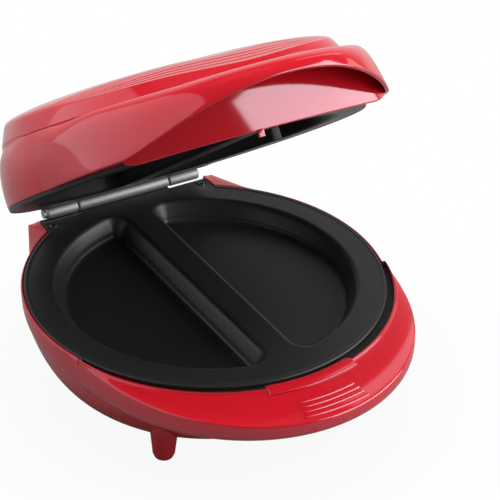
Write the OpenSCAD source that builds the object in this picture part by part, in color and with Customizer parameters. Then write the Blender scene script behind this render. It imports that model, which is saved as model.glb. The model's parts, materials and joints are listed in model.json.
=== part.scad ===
// Electric omelette maker: a round base on four legs, two cast plates with a pair of
// half-round pans each, and a hinged lid with a peaked front that serves as its handle.
// Millimetres, +Z up, front towards -Y. The base is drawn with the lower plate's top face
// at Z = 0 and then lifted by plate_height. The lid is drawn shut and then swung open.

/* [Stance] */
// Height of the lower plate's top face above the counter
plate_height = 66; // [62:1:74]
// How far the lid stands open
open_angle = 37; // [20:1:60]

/* [Plates] */
// Radius of both cooking plates
plate_r = 108; // [104:1:114]
// Thickness of a plate's flat rim
flange_t = 3.5; // [3:0.5:4]
// Air left between the two plates when the lid is shut
plate_gap = 5; // [4.6:0.1:5.4]

/* [Pans] */
// Width of the flat rim between the half-round pans and the plate's edge
pan_inset = 18; // [16:1:24]
// Width of the bridge between the two pans
bridge_w = 19; // [17:1:26]
// Depth of a pan
pan_depth = 13; // [9:0.5:14]
// Radius of a pan's corners
pan_corner_r = 10; // [7:1:14]
// How far a pan's wall leans in from rim to floor
pan_lean = 4; // [2:0.5:5]
// Thickness of a pan's wall and floor
pan_wall = 3; // [2.5:0.5:3.5]

/* [Hinge] */
// How far the hinge axis lies inside the plates' rear edge
hinge_inset = 2.5; // [2:0.5:3]
// Height of the hinge axis above the lower plate's top face
hinge_z = 3; // [2.5:0.5:3.5]
// Outer radius of the hinge barrel
barrel_r = 4; // [3.8:0.2:4.2]
// Length of the whole barrel
barrel_len = 109; // [100:1:112]
// Length of the middle knuckle
middle_len = 64; // [50:1:70]
// Air between neighbouring knuckles
knuckle_gap = 0.8; // [0.6:0.2:1.2]
// Radius of the hinge pin
pin_r = 1.75; // [1.5:0.25:2]
// Air round the hinge pin
pin_fit = 0.05; // [0.03:0.01:0.08]
// Half the width of the straight hinge flange at the rear of a plate
hinge_flange_half = 59; // [58:1:61]

/* [Base shell] */
// Wall thickness of both red shells
shell_wall = 2.5; // [2:0.25:3]
// How far the base shell stands out beyond the plate
bowl_margin = 1.5; // [1.2:0.1:2.5]
// Depth of the bowl below the plate's top face
bowl_depth = 54; // [50:1:58]
// How far the bowl's underside lies inside the plates' edge
bowl_inset = 24; // [18:1:30]
// How far the front handle reaches out from the bowl
handle_reach = 34; // [26:1:40]
// Half the angle over which the front handle spreads
handle_spread = 74; // [66:1:80]
// Height of the handle's front edge
handle_band = 11.5; // [9:0.5:14]
// How far the handle's top slopes down to its front edge
handle_drop = 4.2; // [2:0.2:6]
// Air between the plate's edge and the raised front rim
front_gap = 6.3; // [5:0.1:7]
// Half the width of the straight rear of the base
rear_half = 66; // [65:1:70]
// How far the straight rear lies behind the hinge axis
rear_setback = 0.5; // [0:0.5:3]

/* [Legs] */
// How far the middle of a leg lies outside the bowl's underside
leg_offset = 6; // [6:0.5:9]
// Radius of a leg where it meets the bowl
leg_top_r = 10; // [9:0.5:11]
// Radius of a leg at its foot
leg_foot_r = 6.5; // [5:0.5:8]

/* [Lid shell] */
// Height of the lid's rim above the lower plate's top face
lid_rim_z = 7.4; // [7.4:0.2:8.4]
// Height of the lid's front edge of the cap above the lower plate's top face
cap_front_z = 43.2; // [41:0.5:46]
// Height of the cap's rear edge
cap_rear_z = 56.5; // [50:0.5:58]
// Height of the dome above the cap's edge
crown_h = 11; // [8:0.5:14]
// How far the peak reaches out in front of the lid
peak_reach = 37; // [28:1:40]
// How high the peak's lower edge arches above the lid's rim
peak_arch = 19.2; // [14:0.2:21]
// Half the angle that the finger hollow under the peak takes up
hollow_spread = 42; // [40:1:44]
// Width of the latch tab at the lid's front
tab_w = 3.6; // [3:0.2:6]
// How far that tab sits to the left of the middle
tab_left = 9.5; // [0:0.5:20]

/* [Heating] */
// Radius of the tubular heating element's section
element_tube_r = 3.2; // [2.8:0.1:3.4]
// Thickness of the heat shields
shield_t = 0.8; // [0.6:0.1:1.2]
// Length of the bosses that carry the heat shields
boss_len = 24; // [21:0.5:26]
// Radius of those bosses
boss_r = 4.5; // [4:0.25:5]
// Distance of those bosses from the middle of the plate
boss_y = 62; // [50:1:68]

/* [Hidden] */

// Air between parts that seat on or beside each other
seat = 0.2;
// Air between the lower plate and the rim round it
plate_fit = 0.4;
// A cut reaches this far past the face that it opens
over = 1;

hinge_y = plate_r - hinge_inset;
middle_half = middle_len / 2;
barrel_half = barrel_len / 2;
pin_hole_r = pin_r + pin_fit;
// A plate's flange stops this far short of the hinge axis, so that the barrel can turn
flange_back = hinge_y - barrel_r - 0.3;
outer_knuckle_len = barrel_half - middle_half - knuckle_gap;

pan_r = plate_r - pan_inset;
pan_outer_r = pan_r + pan_wall;
pan_floor_z = -(pan_depth + pan_wall);
element_r = pan_outer_r + element_tube_r + 3;
element_z = -(flange_t + seat + element_tube_r);
element_open_a = 16;
// Length of the element's two straight cold ends
cold_len = 15;
shield_z = -(flange_t + boss_len);
screw_r = 1.5;
screw_hole_r = 1.6;
head_r = 3;
head_h = 1.8;
rear_screw_x = hinge_flange_half - 6;
rear_screw_y = flange_back - 4.6;
// The upper plate screws are cut short above the flange, the lower ones reach into the base
upper_screw_len = flange_t - head_h + 0.6;
lower_screw_len = 9;

bowl_top_r = plate_r + bowl_margin;
bowl_bottom_r = plate_r - bowl_inset;
leg_circle_r = bowl_bottom_r + leg_offset;
bowl_curve = 1.24;
open_r = bowl_bottom_r - 4;
cover_r = bowl_bottom_r - 1.5;
cover_t = 2;
rear_y = hinge_y + rear_setback;
front_rim_z = 0.5;
rear_rim_z = -0.6;
tip_a = 70;
ear_a = 133;
corner_a = 180 - atan(rear_half / rear_y);
notch_half = hinge_flange_half + 1;
notch_a = 180 - atan(notch_half / rear_y);
// The plate's round edge gives way to the side of its hinge flange at this angle
flank_a = 180 - asin((hinge_flange_half + plate_fit) / (plate_r + plate_fit));
notch_z = hinge_z - barrel_r - 7;
ledge_z = -(flange_t + 0.05);
ledge_r = plate_r - 1.8;
// The handle's underside meets the bowl at this height
handle_root_z = -24;
handle_curve = 1.4;
step_a = 0.4;

lid_wall_r = plate_r + 0.3;
lid_notch_z = hinge_z + barrel_r + 2.5;
// The upper plate's edge is rebated under the lid's rim from this height and radius
rebate_z = lid_rim_z - seat;
rebate_r = lid_wall_r - shell_wall - 2 * seat;
panel_rim_z = 3.8;
panel_sweep_r = 179;
panel_y = plate_r + 5;
cap_side_r = plate_r - 11;
cap_front_r = plate_r - 3;
crease_side_r = plate_r - 5.5;
crease_front_r = plate_r + 1;
crease_side_z = 40.2;
crease_front_z = 36.6;

// Leads inside
lead_r = 1.1;
lead_sides = 6;

red = [0.78, 0.06, 0.10];
black = [0.09, 0.09, 0.09];
steel = [0.62, 0.62, 0.64];
tin = [0.78, 0.79, 0.80];
amber = [0.72, 0.55, 0.30];
cream = [0.88, 0.86, 0.80];

// Even steps from a up to, but not reaching, b
function spread(a, b, n) = [for (i = [0 : n - 1]) a + (b - a) * i / n];

// The numbers of a list in rising order, each once
function sorted(v) =
    len(v) < 2 ? v
    : concat(sorted([for (x = v) if (x < v[0]) x]), [v[0]], sorted([for (x = v) if (x > v[0]) x]));

// The same list without the numbers that follow the one before too closely
function spaced(v) = [for (i = [0 : len(v) - 1]) if (i == 0 || v[i] - v[i - 1] > 0.1) v[i]];

// The same angles on the right and on the left, in rising order, with the front in the middle
function both_sides(right) = concat(
    [for (i = [len(right) - 1 : -1 : 1]) -right[i]],
    right
);

function mix(a, b, t) = a + (b - a) * t;

// One at the front, falling to nothing at half degrees to either side
function bump(a, half, p) = abs(a) < half ? pow(cos(90 * a / half), p) : 0;

// A smooth rise from nothing to one
function ease(x) = let (t = max(0, min(1, x))) t * t * (3 - 2 * t);

// A point at angle a from the front, radius r and height z
function polar(a, r, z) = [r * sin(a), -r * cos(a), z];

// Triangles between neighbouring rings of points, each of m points, closed round the ring
function strip_faces(rings, m, wrap) = [
    for (i = [0 : (wrap ? rings - 1 : rings - 2)])
        for (j = [0 : m - 1])
            let (
                a = i * m + j,
                b = i * m + (j + 1) % m,
                c = ((i + 1) % rings) * m + j,
                d = ((i + 1) % rings) * m + (j + 1) % m
            )
            each [[a, b, c], [b, d, c]]
];

// A ring-shaped solid: each section is a closed outline in a plane through the axis
module ring_skin(angles, sections) {
    m = len(sections[0]);
    points = [
        for (i = [0 : len(angles) - 1])
            for (p = sections[i]) polar(angles[i], p[0], p[1])
    ];
    polyhedron(points, strip_faces(len(angles), m, true), convexity = 8);
}

// A domed solid: each section runs from near the axis on the outside, round the rim and
// back to near the axis on the inside, and both sides close on a point of the axis
module dome_skin(angles, sections, top_z, under_z) {
    n = len(angles);
    m = len(sections[0]);
    body = [
        for (i = [0 : n - 1])
            for (p = sections[i]) polar(angles[i], p[0], p[1])
    ];
    walls = [
        for (i = [0 : n - 1])
            for (j = [0 : m - 2])
                let (k = (i + 1) % n)
                each [
                    [i * m + j, i * m + j + 1, k * m + j],
                    [i * m + j + 1, k * m + j + 1, k * m + j]
                ]
    ];
    caps = [
        for (i = [0 : n - 1])
            let (k = (i + 1) % n)
            each [
                [n * m, i * m, k * m],
                [n * m + 1, k * m + m - 1, i * m + m - 1]
            ]
    ];
    polyhedron(concat(body, [[0, 0, top_z], [0, 0, under_z]]), concat(walls, caps), convexity = 8);
}

// A curved wall with a shelf on its back, eight points to a section, that stops at both ends
module wall_skin(angles, sections) {
    n = len(angles);
    points = [
        for (i = [0 : n - 1])
            for (p = sections[i]) polar(angles[i], p[0], p[1])
    ];
    flat = [[1, 2, 3], [1, 3, 4], [1, 4, 7], [1, 7, 0], [4, 5, 6], [4, 6, 7]];
    start = [for (t = flat) [t[2], t[1], t[0]]];
    end = [for (t = flat) [for (k = t) 8 * n - 8 + k]];
    polyhedron(points, concat(strip_faces(n, 8, false), start, end), convexity = 6);
}

function unit(v) = v / norm(v);

// A lead swept along points chosen by hand
module lead(path) {
    n = len(path);
    rings = [
        for (i = [0 : n - 1])
            let (
                t = unit(path[min(i + 1, n - 1)] - path[max(i - 1, 0)]),
                u = unit(cross(t, abs(t[2]) > 0.9 ? [1, 0, 0] : [0, 0, 1])),
                v = cross(t, u)
            )
            for (k = [0 : lead_sides - 1])
                path[i] + lead_r * (cos(360 * k / lead_sides) * u + sin(360 * k / lead_sides) * v)
    ];
    start = [[for (k = [lead_sides - 1 : -1 : 0]) k]];
    end = [[for (k = [0 : lead_sides - 1]) (n - 1) * lead_sides + k]];
    polyhedron(rings, concat(strip_faces(n, lead_sides, false), start, end), convexity = 4);
}

// Things of the base, lifted to stand on the legs
module on_base() {
    translate([0, shift_y, plate_height]) children();
}

// Things of the lid, drawn shut and swung open about the hinge
module on_lid() {
    translate([0, hinge_y + shift_y, plate_height + hinge_z])
        rotate([-open_angle, 0, 0])
            translate([0, -hinge_y, -hinge_z]) children();
}

// The handle's share of its full reach at angle a
function brim(a) = bump(a, handle_spread, handle_curve);

function bowl_point(t) = [
    bowl_bottom_r + (bowl_top_r - bowl_bottom_r) * pow(cos(t), bowl_curve),
    -bowl_depth * pow(sin(t), bowl_curve)
];

// The bowl's curve parameter at height z
function bowl_t(z) = asin(pow(-z / bowl_depth, 1 / bowl_curve));

// Radius at which the straight line from p to q, both behind the axis, crosses angle a
function line_r(p, q, a) =
    (p[0] * q[1] - p[1] * q[0]) / (abs(sin(a)) * (q[1] - p[1]) - abs(cos(a)) * (q[0] - p[0]));

// Plan outline of the base without its handle: round, with a straight-sided rear
function plan_r(a) =
    abs(a) <= ear_a ? bowl_top_r
    : abs(a) < corner_a
        ? line_r(bowl_top_r * [sin(ear_a), -cos(ear_a)], [rear_half, rear_y], a)
        : rear_y / abs(cos(a));

// How much of the rear's extra width is left at height z
function rear_share(z) = pow(max(0, min(1, (bowl_depth - 8 + z) / (bowl_depth - 24))), 1.5);

// Inner edge of the base's rim
function rim_in(a) =
    abs(a) < tip_a
        ? (front_gap - 1) * cos(a) + sqrt(pow(plate_r + 1, 2) - pow((front_gap - 1) * sin(a), 2))
    : abs(a) <= flank_a ? plate_r + plate_fit
    : abs(a) < notch_a ? min((hinge_flange_half + plate_fit) / abs(sin(a)), plan_r(a) - 1.1)
    : plan_r(a) - shell_wall;

function rim_z(a) = abs(a) < tip_a ? front_rim_z : abs(a) < notch_a ? rear_rim_z : notch_z;

// One section of the base shell, from its bottom opening up the outside and down the inside
function base_section(a) =
    let (
        b = brim(a),
        e = plan_r(a) - bowl_top_r,
        ri = rim_in(a),
        zr = rim_z(a),
        edge_r = plan_r(a) + handle_reach * b,
        edge_z = min(-1.5 - handle_drop * b, zr - 1.2),
        low_z = mix(handle_root_z + 2, -1.5 - handle_drop - handle_band, b),
        root_r = bowl_point(bowl_t(handle_root_z + 2))[0],
        low_r = root_r + e * rear_share(handle_root_z) + handle_reach * b,
        mid_z = (edge_z + low_z) / 2,
        side_r = bowl_point(bowl_t(mid_z * 0.6))[0],
        mid_r = side_r + e * rear_share(mid_z) + (handle_reach + 1.5) * b,
        seat_z = min(ledge_z, zr - 1.2),
        seat_r = abs(a) < notch_a ? ledge_r : ri - 1.2,
        root_t = bowl_t(handle_root_z)
    )
    concat(
        [[open_r, -bowl_depth]],
        [
            for (t = [88, 76, 64, 52, 42, root_t])
                let (p = bowl_point(t))
                [p[0] + e * rear_share(p[1]), p[1]]
        ],
        [
            [low_r, low_z],
            [mid_r, mid_z],
            [edge_r, edge_z],
            [mix(ri + 1.6, edge_r, 0.5), mix(zr, edge_z, 0.42)],
            [min(ri + 1.6, edge_r - 0.15), zr],
            [ri, zr - 0.3],
            [ri, seat_z],
            [seat_r, seat_z],
            [seat_r, seat_z - shell_wall],
            [
                max(edge_r - shell_wall - 0.7, seat_r + 0.1),
                min(edge_z - shell_wall, seat_z - shell_wall) - 0.8
            ],
            [low_r - shell_wall - 0.6, low_z + shell_wall]
        ],
        [
            for (t = [root_t, 42, 52, 64, 76, 88])
                let (p = bowl_point(t))
                [p[0] - shell_wall - 0.2 + e * rear_share(p[1]), p[1] + (t == root_t ? shell_wall : 0.6)]
        ],
        [[open_r, -bowl_depth + shell_wall]]
    );

base_angles = let (
    right = concat(
        spread(0, tip_a, 20), [tip_a, tip_a + step_a],
        spread(tip_a + 4, ear_a, 14), spread(ear_a, flank_a, 4),
        [flank_a, corner_a, notch_a - step_a, notch_a],
        spread(notch_a + 4, 180, 5)
    )
) concat(both_sides(spaced(sorted(right))), [180]);

gland_x = 34;
gland_z = -36;
gland_r = 6;
gland_bore_r = 3.8;

module base_shell() {
    color(red)
        on_base()
            difference() {
                ring_skin(base_angles, [for (a = base_angles) base_section(a)]);
                translate([gland_x, rear_y - 30, gland_z])
                    rotate([-90, 0, 0]) cylinder(r = gland_r + seat, h = 60, $fn = 48);
            }
}

post_r = 6;

module bottom_cover() {
    post_h = bowl_depth + cover_t + shield_z - shield_t - seat;
    color(black)
        on_base()
            translate([0, 0, -bowl_depth - cover_t])
                difference() {
                    union() {
                        cylinder(r = cover_r, h = cover_t, $fn = 96);
                        for (side = [-1, 1])
                            translate([0, side * boss_y, 0])
                                cylinder(r = post_r, h = post_h, $fn = 40);
                    }
                    for (side = [-1, 1])
                        translate([0, side * boss_y, -over])
                            cylinder(r = screw_hole_r, h = bowl_depth + cover_t + over, $fn = 24);
                    for (side = [-1, 1])
                        translate([0, side * boss_y, -over])
                            cylinder(r = head_r + 0.4, h = over + head_h + 6, $fn = 32);
                    for (i = [-3 : 3])
                        translate([i * 9, 0, -over])
                            translate([-1.5, -22, 0]) cube([3, 44, cover_t + 2 * over]);
                }
}

// The bowl's outer form as a plain solid of revolution, a little larger than the shell
module bowl_form() {
    rotate_extrude($fn = 144)
        polygon(concat(
            [[0, -bowl_depth - seat], [open_r, -bowl_depth - seat]],
            [for (t = [88, 76, 64, 52, 42, bowl_t(handle_root_z)]) bowl_point(t) + [seat, -seat]],
            [[bowl_top_r + 8, -bowl_depth * 0.3], [0, -bowl_depth * 0.3]]
        ));
}

// A tapered leg with a rounded foot that ends in a small flat, cut to seat on the bowl
module leg(side, end) {
    foot_round = leg_foot_r * 0.55;
    top_z = plate_height - bowl_depth * 0.5;
    color(red)
        difference() {
            translate([side * leg_circle_r * sin(45), end * leg_circle_r * sin(45) + shift_y, 0])
                rotate_extrude($fn = 64)
                    polygon([
                        [0, 0], [leg_foot_r - foot_round, 0],
                        [leg_foot_r - foot_round * 0.3, foot_round * 0.3],
                        [leg_foot_r, foot_round],
                        [leg_top_r, top_z], [0, top_z]
                    ]);
            on_base() bowl_form();
        }
}

// The flat outline of one half-round pan, drawn in by d, with rounded corners
function pan_outline(d) =
    let (
        centre_x = bridge_w / 2 + pan_corner_r,
        centre_y = sqrt(pow(pan_r - pan_corner_r, 2) - pow(centre_x, 2)),
        turn = atan(centre_y / centre_x),
        corner = pan_corner_r - d
    )
    concat(
        [for (i = [0 : 32]) let (t = mix(-turn, turn, i / 32)) (pan_r - d) * [cos(t), sin(t)]],
        [
            for (i = [1 : 5])
                let (t = mix(turn, 180, i / 5))
                [centre_x + corner * cos(t), centre_y + corner * sin(t)]
        ],
        [
            for (i = [0 : 4])
                let (t = mix(180, 360 - turn, i / 5))
                [centre_x + corner * cos(t), -centre_y + corner * sin(t)]
        ]
    );

// A leaning block with the outline of a pan, from top_z down to depth; grow makes it larger
module pan_block(depth, grow, top_z) {
    rings = [
        [top_z, -grow - top_z * pan_lean * 0.7 / (0.85 * depth)],
        [-depth * 0.85, pan_lean * 0.7 - grow],
        [-depth, pan_lean + 1.5 - grow]
    ];
    m = len(pan_outline(0));
    points = [for (ring = rings) for (p = pan_outline(ring[1])) [p[0], p[1], ring[0]]];
    sides = [
        for (i = [0 : len(rings) - 2])
            for (j = [0 : m - 1])
                let (k = (j + 1) % m)
                [i * m + j, i * m + k, (i + 1) * m + k, (i + 1) * m + j]
    ];
    top = [for (j = [m - 1 : -1 : 0]) j];
    floor = [for (j = [0 : m - 1]) (len(rings) - 1) * m + j];
    polyhedron(points, concat(sides, [top, floor]), convexity = 2);
}

// A knuckle of the hinge from x0 to x1, with the web that joins it to its plate
module knuckle(x0, x1) {
    translate([x0, hinge_y, hinge_z])
        rotate([0, 90, 0]) cylinder(r = barrel_r, h = x1 - x0, $fn = 48);
}

module pin_bore() {
    translate([-barrel_half - over, hinge_y, hinge_z])
        rotate([0, 90, 0]) cylinder(r = pin_hole_r, h = barrel_len + 2 * over, $fn = 32);
}

// What both plates share: rim, hinge flange, two pans, bosses and screw holes, face up at Z = 0
module plate_casting() {
    difference() {
        union() {
            translate([0, 0, -flange_t]) cylinder(r = plate_r, h = flange_t, $fn = 144);
            translate([-hinge_flange_half, 0, -flange_t])
                cube([2 * hinge_flange_half, flange_back, flange_t]);
            for (side = [0, 1])
                mirror([side, 0, 0]) pan_block(pan_depth + pan_wall, pan_wall, -flange_t / 2);
            for (side = [-1, 1])
                translate([0, side * boss_y, shield_z]) cylinder(r = boss_r, h = boss_len + 1, $fn = 32);
        }
        for (side = [0, 1])
            mirror([side, 0, 0]) pan_block(pan_depth, 0, over);
        translate([-plate_r, flange_back, -flange_t - over])
            cube([2 * plate_r, plate_r, flange_t + 2 * over]);
        for (side = [-1, 1]) {
            translate([0, side * boss_y, shield_z - over])
                cylinder(r = screw_hole_r, h = 14 + over, $fn = 24);
            translate([side * rear_screw_x, rear_screw_y, -flange_t - over])
                cylinder(r = screw_hole_r, h = flange_t + 2 * over, $fn = 24);
            translate([side * rear_screw_x, rear_screw_y, -head_h - 0.1])
                cylinder(r = head_r + 0.3, h = head_h + over, $fn = 32);
        }
    }
}

module lower_plate() {
    web_half = middle_half - 0.01;
    color(black)
        on_base()
            difference() {
                union() {
                    plate_casting();
                    knuckle(-middle_half, middle_half);
                    translate([-web_half, flange_back - 1, -flange_t])
                        cube([2 * web_half, hinge_y - flange_back + 2, flange_t - 0.01]);
                }
                pin_bore();
            }
}

module upper_plate() {
    x0 = middle_half + knuckle_gap;
    web_len = outer_knuckle_len - 0.02;
    web_t = hinge_z + barrel_r - plate_gap - 0.02;
    color(black)
        on_lid()
            difference() {
                union() {
                    difference() {
                        translate([0, 0, plate_gap]) mirror([0, 0, 1]) plate_casting();
                        rebate();
                    }
                    for (side = [0, 1])
                        mirror([side, 0, 0]) {
                            knuckle(x0, barrel_half);
                            translate([x0 + 0.01, flange_back - 1, plate_gap + 0.01])
                                cube([web_len, hinge_y - flange_back + 1, web_t]);
                        }
                    spacer_leg();
                }
                pin_bore();
            }
}

// The ring cut from the upper plate's edge, where the lid's rim sits, save at the hinge flange
module rebate() {
    half = hinge_flange_half - 1;
    difference() {
        translate([0, 0, rebate_z]) cylinder(r = plate_r + over, h = flange_t + over, $fn = 144);
        translate([0, 0, rebate_z - over])
            cylinder(r = rebate_r, h = flange_t + 3 * over, $fn = 144);
        translate([-half, 0, rebate_z - over]) cube([2 * half, plate_r + 2 * over, flange_t + 3 * over]);
    }
}

// A short leg at the front of the upper plate that drops into the gap behind the base's rim
// and keeps the plates apart
module spacer_leg() {
    leg_w = 5;
    foot_z = ledge_z + 0.4;
    arm_z = plate_gap + 0.2;
    top_z = rebate_z - 0.1;
    translate([-leg_w / 2, -(plate_r + 2.3), foot_z]) cube([leg_w, 1.9, top_z - foot_z]);
    translate([-leg_w / 2, -(plate_r + 1.5), arm_z]) cube([leg_w, 3, top_z - arm_z]);
}

module hinge_pin() {
    head_t = 1.2;
    color(steel)
        on_base()
            translate([-barrel_half - head_t - 0.1, hinge_y, hinge_z])
                rotate([0, 90, 0]) {
                    cylinder(r = pin_r, h = barrel_len + head_t + 0.2, $fn = 32);
                    cylinder(r = pin_r + 1.2, h = head_t, $fn = 32);
                }
}

// A tubular element under a plate's rim, open at the rear, with its two cold ends turned away
module element() {
    arc = 360 - 2 * element_open_a;
    rotate([0, 0, 90 + element_open_a])
        rotate_extrude(angle = arc, $fn = 144)
            translate([element_r, element_z]) circle(r = element_tube_r, $fn = 24);
    for (side = [-1, 1])
        rotate([0, 0, 90 + side * (element_open_a + 2)])
            translate([element_r, 0, element_z - cold_len])
                cylinder(r = element_tube_r - 0.7, h = cold_len, $fn = 24);
}

clip_half_a = 3;
clip_t = 1;

// Clips that hold the element up against the rim
module element_clips() {
    inner = element_r - element_tube_r - seat;
    outer = element_r + element_tube_r + seat;
    floor_z = element_z - element_tube_r - seat;
    for (a = [30, 90, 150, 210, 270, 330])
        rotate([0, 0, a - 90 - clip_half_a])
            rotate_extrude(angle = 2 * clip_half_a, $fn = 144)
                polygon([
                    [inner - clip_t, -flange_t], [inner - clip_t, floor_z - clip_t],
                    [outer + clip_t, floor_z - clip_t], [outer + clip_t, -flange_t],
                    [outer, -flange_t], [outer, floor_z], [inner, floor_z], [inner, -flange_t]
                ]);
}

shield_r = plate_r - 12;

// A shallow aluminium dish behind the pans, hung on the plate's bosses
module heat_shield() {
    lip_h = 4;
    difference() {
        union() {
            translate([0, 0, shield_z - shield_t]) cylinder(r = shield_r, h = shield_t, $fn = 96);
            translate([0, 0, shield_z - shield_t])
                difference() {
                    cylinder(r = shield_r, h = lip_h, $fn = 96);
                    translate([0, 0, -over])
                        cylinder(r = shield_r - shield_t, h = lip_h + 2 * over, $fn = 96);
                }
        }
        for (side = [-1, 1])
            translate([0, side * boss_y, shield_z - shield_t - over])
                cylinder(r = screw_hole_r + 0.4, h = shield_t + 2 * over, $fn = 24);
        translate([0, -30, shield_z - shield_t - over]) cylinder(r = 6, h = shield_t + 2 * over, $fn = 32);
    }
}

module lower_heat_shield() {
    color(tin) on_base() heat_shield();
}

module upper_heat_shield() {
    color(tin) on_lid() translate([0, 0, plate_gap]) mirror([0, 0, 1]) heat_shield();
}

module lower_element() {
    color(steel) on_base() element();
}

module upper_element() {
    color(steel) on_lid() translate([0, 0, plate_gap]) mirror([0, 0, 1]) element();
}

module lower_element_clips() {
    color(tin) on_base() element_clips();
}

module upper_element_clips() {
    color(tin) on_lid() translate([0, 0, plate_gap]) mirror([0, 0, 1]) element_clips();
}

under_pan_x = bridge_w / 2 + pan_r * 0.36;

// Snap-disc thermostat pressed up against the right pan's underside
module thermostat() {
    body_h = 6.5;
    color(black)
        on_base()
            translate([under_pan_x, 0, pan_floor_z - seat - body_h]) {
                cylinder(r = 8, h = body_h, $fn = 48);
                translate([-12, -3.5, body_h - 1]) cube([24, 7, 1]);
                for (side = [-1, 1])
                    translate([side * 4 - 0.4, -2.4, -3]) cube([0.8, 4.8, 3.5]);
            }
}

fuse_r = 2.2;
fuse_len = 14;

// Thermal fuse under the left pan
module thermal_fuse() {
    color(amber)
        on_base()
            translate([-under_pan_x, -fuse_len / 2, pan_floor_z - seat - fuse_r])
                rotate([-90, 0, 0]) cylinder(r = fuse_r, h = fuse_len, $fn = 32);
}

// Strap that holds the fuse to the pan
module fuse_strap() {
    strap_w = 5;
    strap_t = 0.8;
    half = fuse_r + seat;
    wing = half + 6;
    drop = 2 * fuse_r + 2 * seat;
    color(tin)
        on_base()
            translate([-under_pan_x, -strap_w / 2, pan_floor_z])
                rotate([-90, 0, 0])
                    linear_extrude(strap_w)
                        polygon([
                            [-wing, 0], [-half, 0], [-half, drop],
                            [half, drop], [half, 0], [wing, 0],
                            [wing, strap_t], [half + strap_t, strap_t],
                            [half + strap_t, drop + strap_t], [-half - strap_t, drop + strap_t],
                            [-half - strap_t, strap_t], [-wing, strap_t]
                        ]);
}

clamp_y = bowl_bottom_r - 28;
block_x = gland_x - 2;
block_y = clamp_y - 22;
block_size = [30, 16, 12];

// Terminal block on the floor of the base
module terminal_block() {
    color(cream)
        on_base()
            translate([block_x - block_size[0] / 2, block_y - block_size[1] / 2, -bowl_depth])
                difference() {
                    cube(block_size);
                    for (i = [0 : 2])
                        translate([5 + 10 * i, block_size[1] / 2, 5])
                            cylinder(r = 2, h = block_size[2], $fn = 24);
                }
}

gland_flange_r = gland_r + 2;
gland_y = sqrt(pow(bowl_point(bowl_t(gland_z + gland_flange_r))[0] + 2, 2) - gland_x * gland_x);

// Cord inlet: a flanged bushing in the rear wall of the base
module cord_gland() {
    bush_len = 13;
    flange_len = 3;
    color(black)
        on_base()
            translate([gland_x, gland_y - bush_len, gland_z])
                rotate([-90, 0, 0])
                    difference() {
                        union() {
                            cylinder(r = gland_r, h = bush_len + 1, $fn = 48);
                            translate([0, 0, bush_len])
                                cylinder(r = gland_flange_r, h = flange_len, $fn = 48);
                        }
                        translate([0, 0, -over])
                            cylinder(r = gland_bore_r, h = bush_len + flange_len + 2 * over, $fn = 48);
                    }
}

// Saddle that grips the cord inside the base
module cord_clamp() {
    width = 26;
    depth = 8;
    height = 10;
    color(cream)
        on_base()
            translate([gland_x - width / 2, clamp_y - depth / 2, -bowl_depth])
                difference() {
                    cube([width, depth, height]);
                    translate([width / 2, -over, 4.5])
                        rotate([-90, 0, 0]) cylinder(r = 3.4, h = depth + 2 * over, $fn = 32);
                    for (x = [4, width - 4])
                        translate([x, depth / 2, -over])
                            cylinder(r = screw_hole_r, h = height + 2 * over, $fn = 24);
                }
}

// A pan-head screw hanging from Z = 0, head up
module screw(len) {
    cylinder(r = head_r, h = head_h, $fn = 32);
    translate([0, 0, -len]) cylinder(r = screw_r, h = len + 0.5, $fn = 24);
}

module cord_clamp_screws() {
    color(steel)
        on_base()
            for (side = [-1, 1])
                translate([gland_x + side * 9, clamp_y, -bowl_depth + 10]) screw(9.5);
}

module lower_plate_screws() {
    color(steel)
        on_base()
            for (side = [-1, 1])
                translate([side * rear_screw_x, rear_screw_y, -head_h]) screw(lower_screw_len);
}

module upper_plate_screws() {
    color(steel)
        on_lid()
            for (side = [-1, 1])
                translate([side * rear_screw_x, rear_screw_y, plate_gap + head_h])
                    mirror([0, 0, 1]) screw(upper_screw_len);
}

// Long screws from below, through the posts of the bottom cover into the plate's bosses
module bottom_cover_screws() {
    seat_z = -bowl_depth - cover_t + head_h + 6;
    color(steel)
        on_base()
            for (side = [-1, 1])
                translate([0, side * boss_y, seat_z])
                    mirror([0, 0, 1]) screw(shield_z - seat_z + 10);
}

// Leads in the base, from the terminal block up to the element and through the heat shield
module base_wiring() {
    end_a = 90 + element_open_a + 2;
    end_x = element_r * cos(end_a);
    end_y = element_r * sin(end_a);
    cold_end_z = element_z - cold_len;
    hole_z = -bowl_depth + 7;
    run_z = -bowl_depth + block_size[2] + 7;
    color(cream)
        on_base() {
            lead([
                [block_x - 10, block_y, hole_z], [block_x - 10, block_y, run_z - 1],
                [block_x - 10, block_y + 14, run_z], [10, 76, run_z], [-14, 84, run_z + 1],
                [end_x * 0.9, end_y * 0.96, run_z + 2], [end_x * 0.99, end_y * 0.99, run_z + 5],
                [end_x, end_y, cold_end_z - 0.3]
            ]);
            lead([
                [block_x + 10, block_y, hole_z], [block_x + 10, block_y, run_z - 1],
                [block_x + 4, block_y - 14, run_z], [14, 0, run_z + 1], [3, -24, run_z + 1],
                [0, -30, run_z + 3], [0, -30, shield_z + 4]
            ]);
        }
}

// Height of the lid's dome at a share f of the way out to the cap's edge
function cap_z(a) = mix(cap_front_z, cap_rear_z, pow((1 - cos(a)) / 2, 0.75));
function dome_z(a, f) =
    mix((cap_front_z + cap_rear_z) / 2, cap_z(a), f) + crown_h * sqrt(1 - f * f);

// The curve of the lid's side and peak, from the crease below the cap out to the lower edge.
// A pull above one draws it closer to its corner q
function bend(p, q, r, pull, t) =
    ((1 - t) * (1 - t) * p + 2 * t * (1 - t) * pull * q + t * t * r)
    / ((1 - t) * (1 - t) + 2 * t * (1 - t) * pull + t * t);

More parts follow.
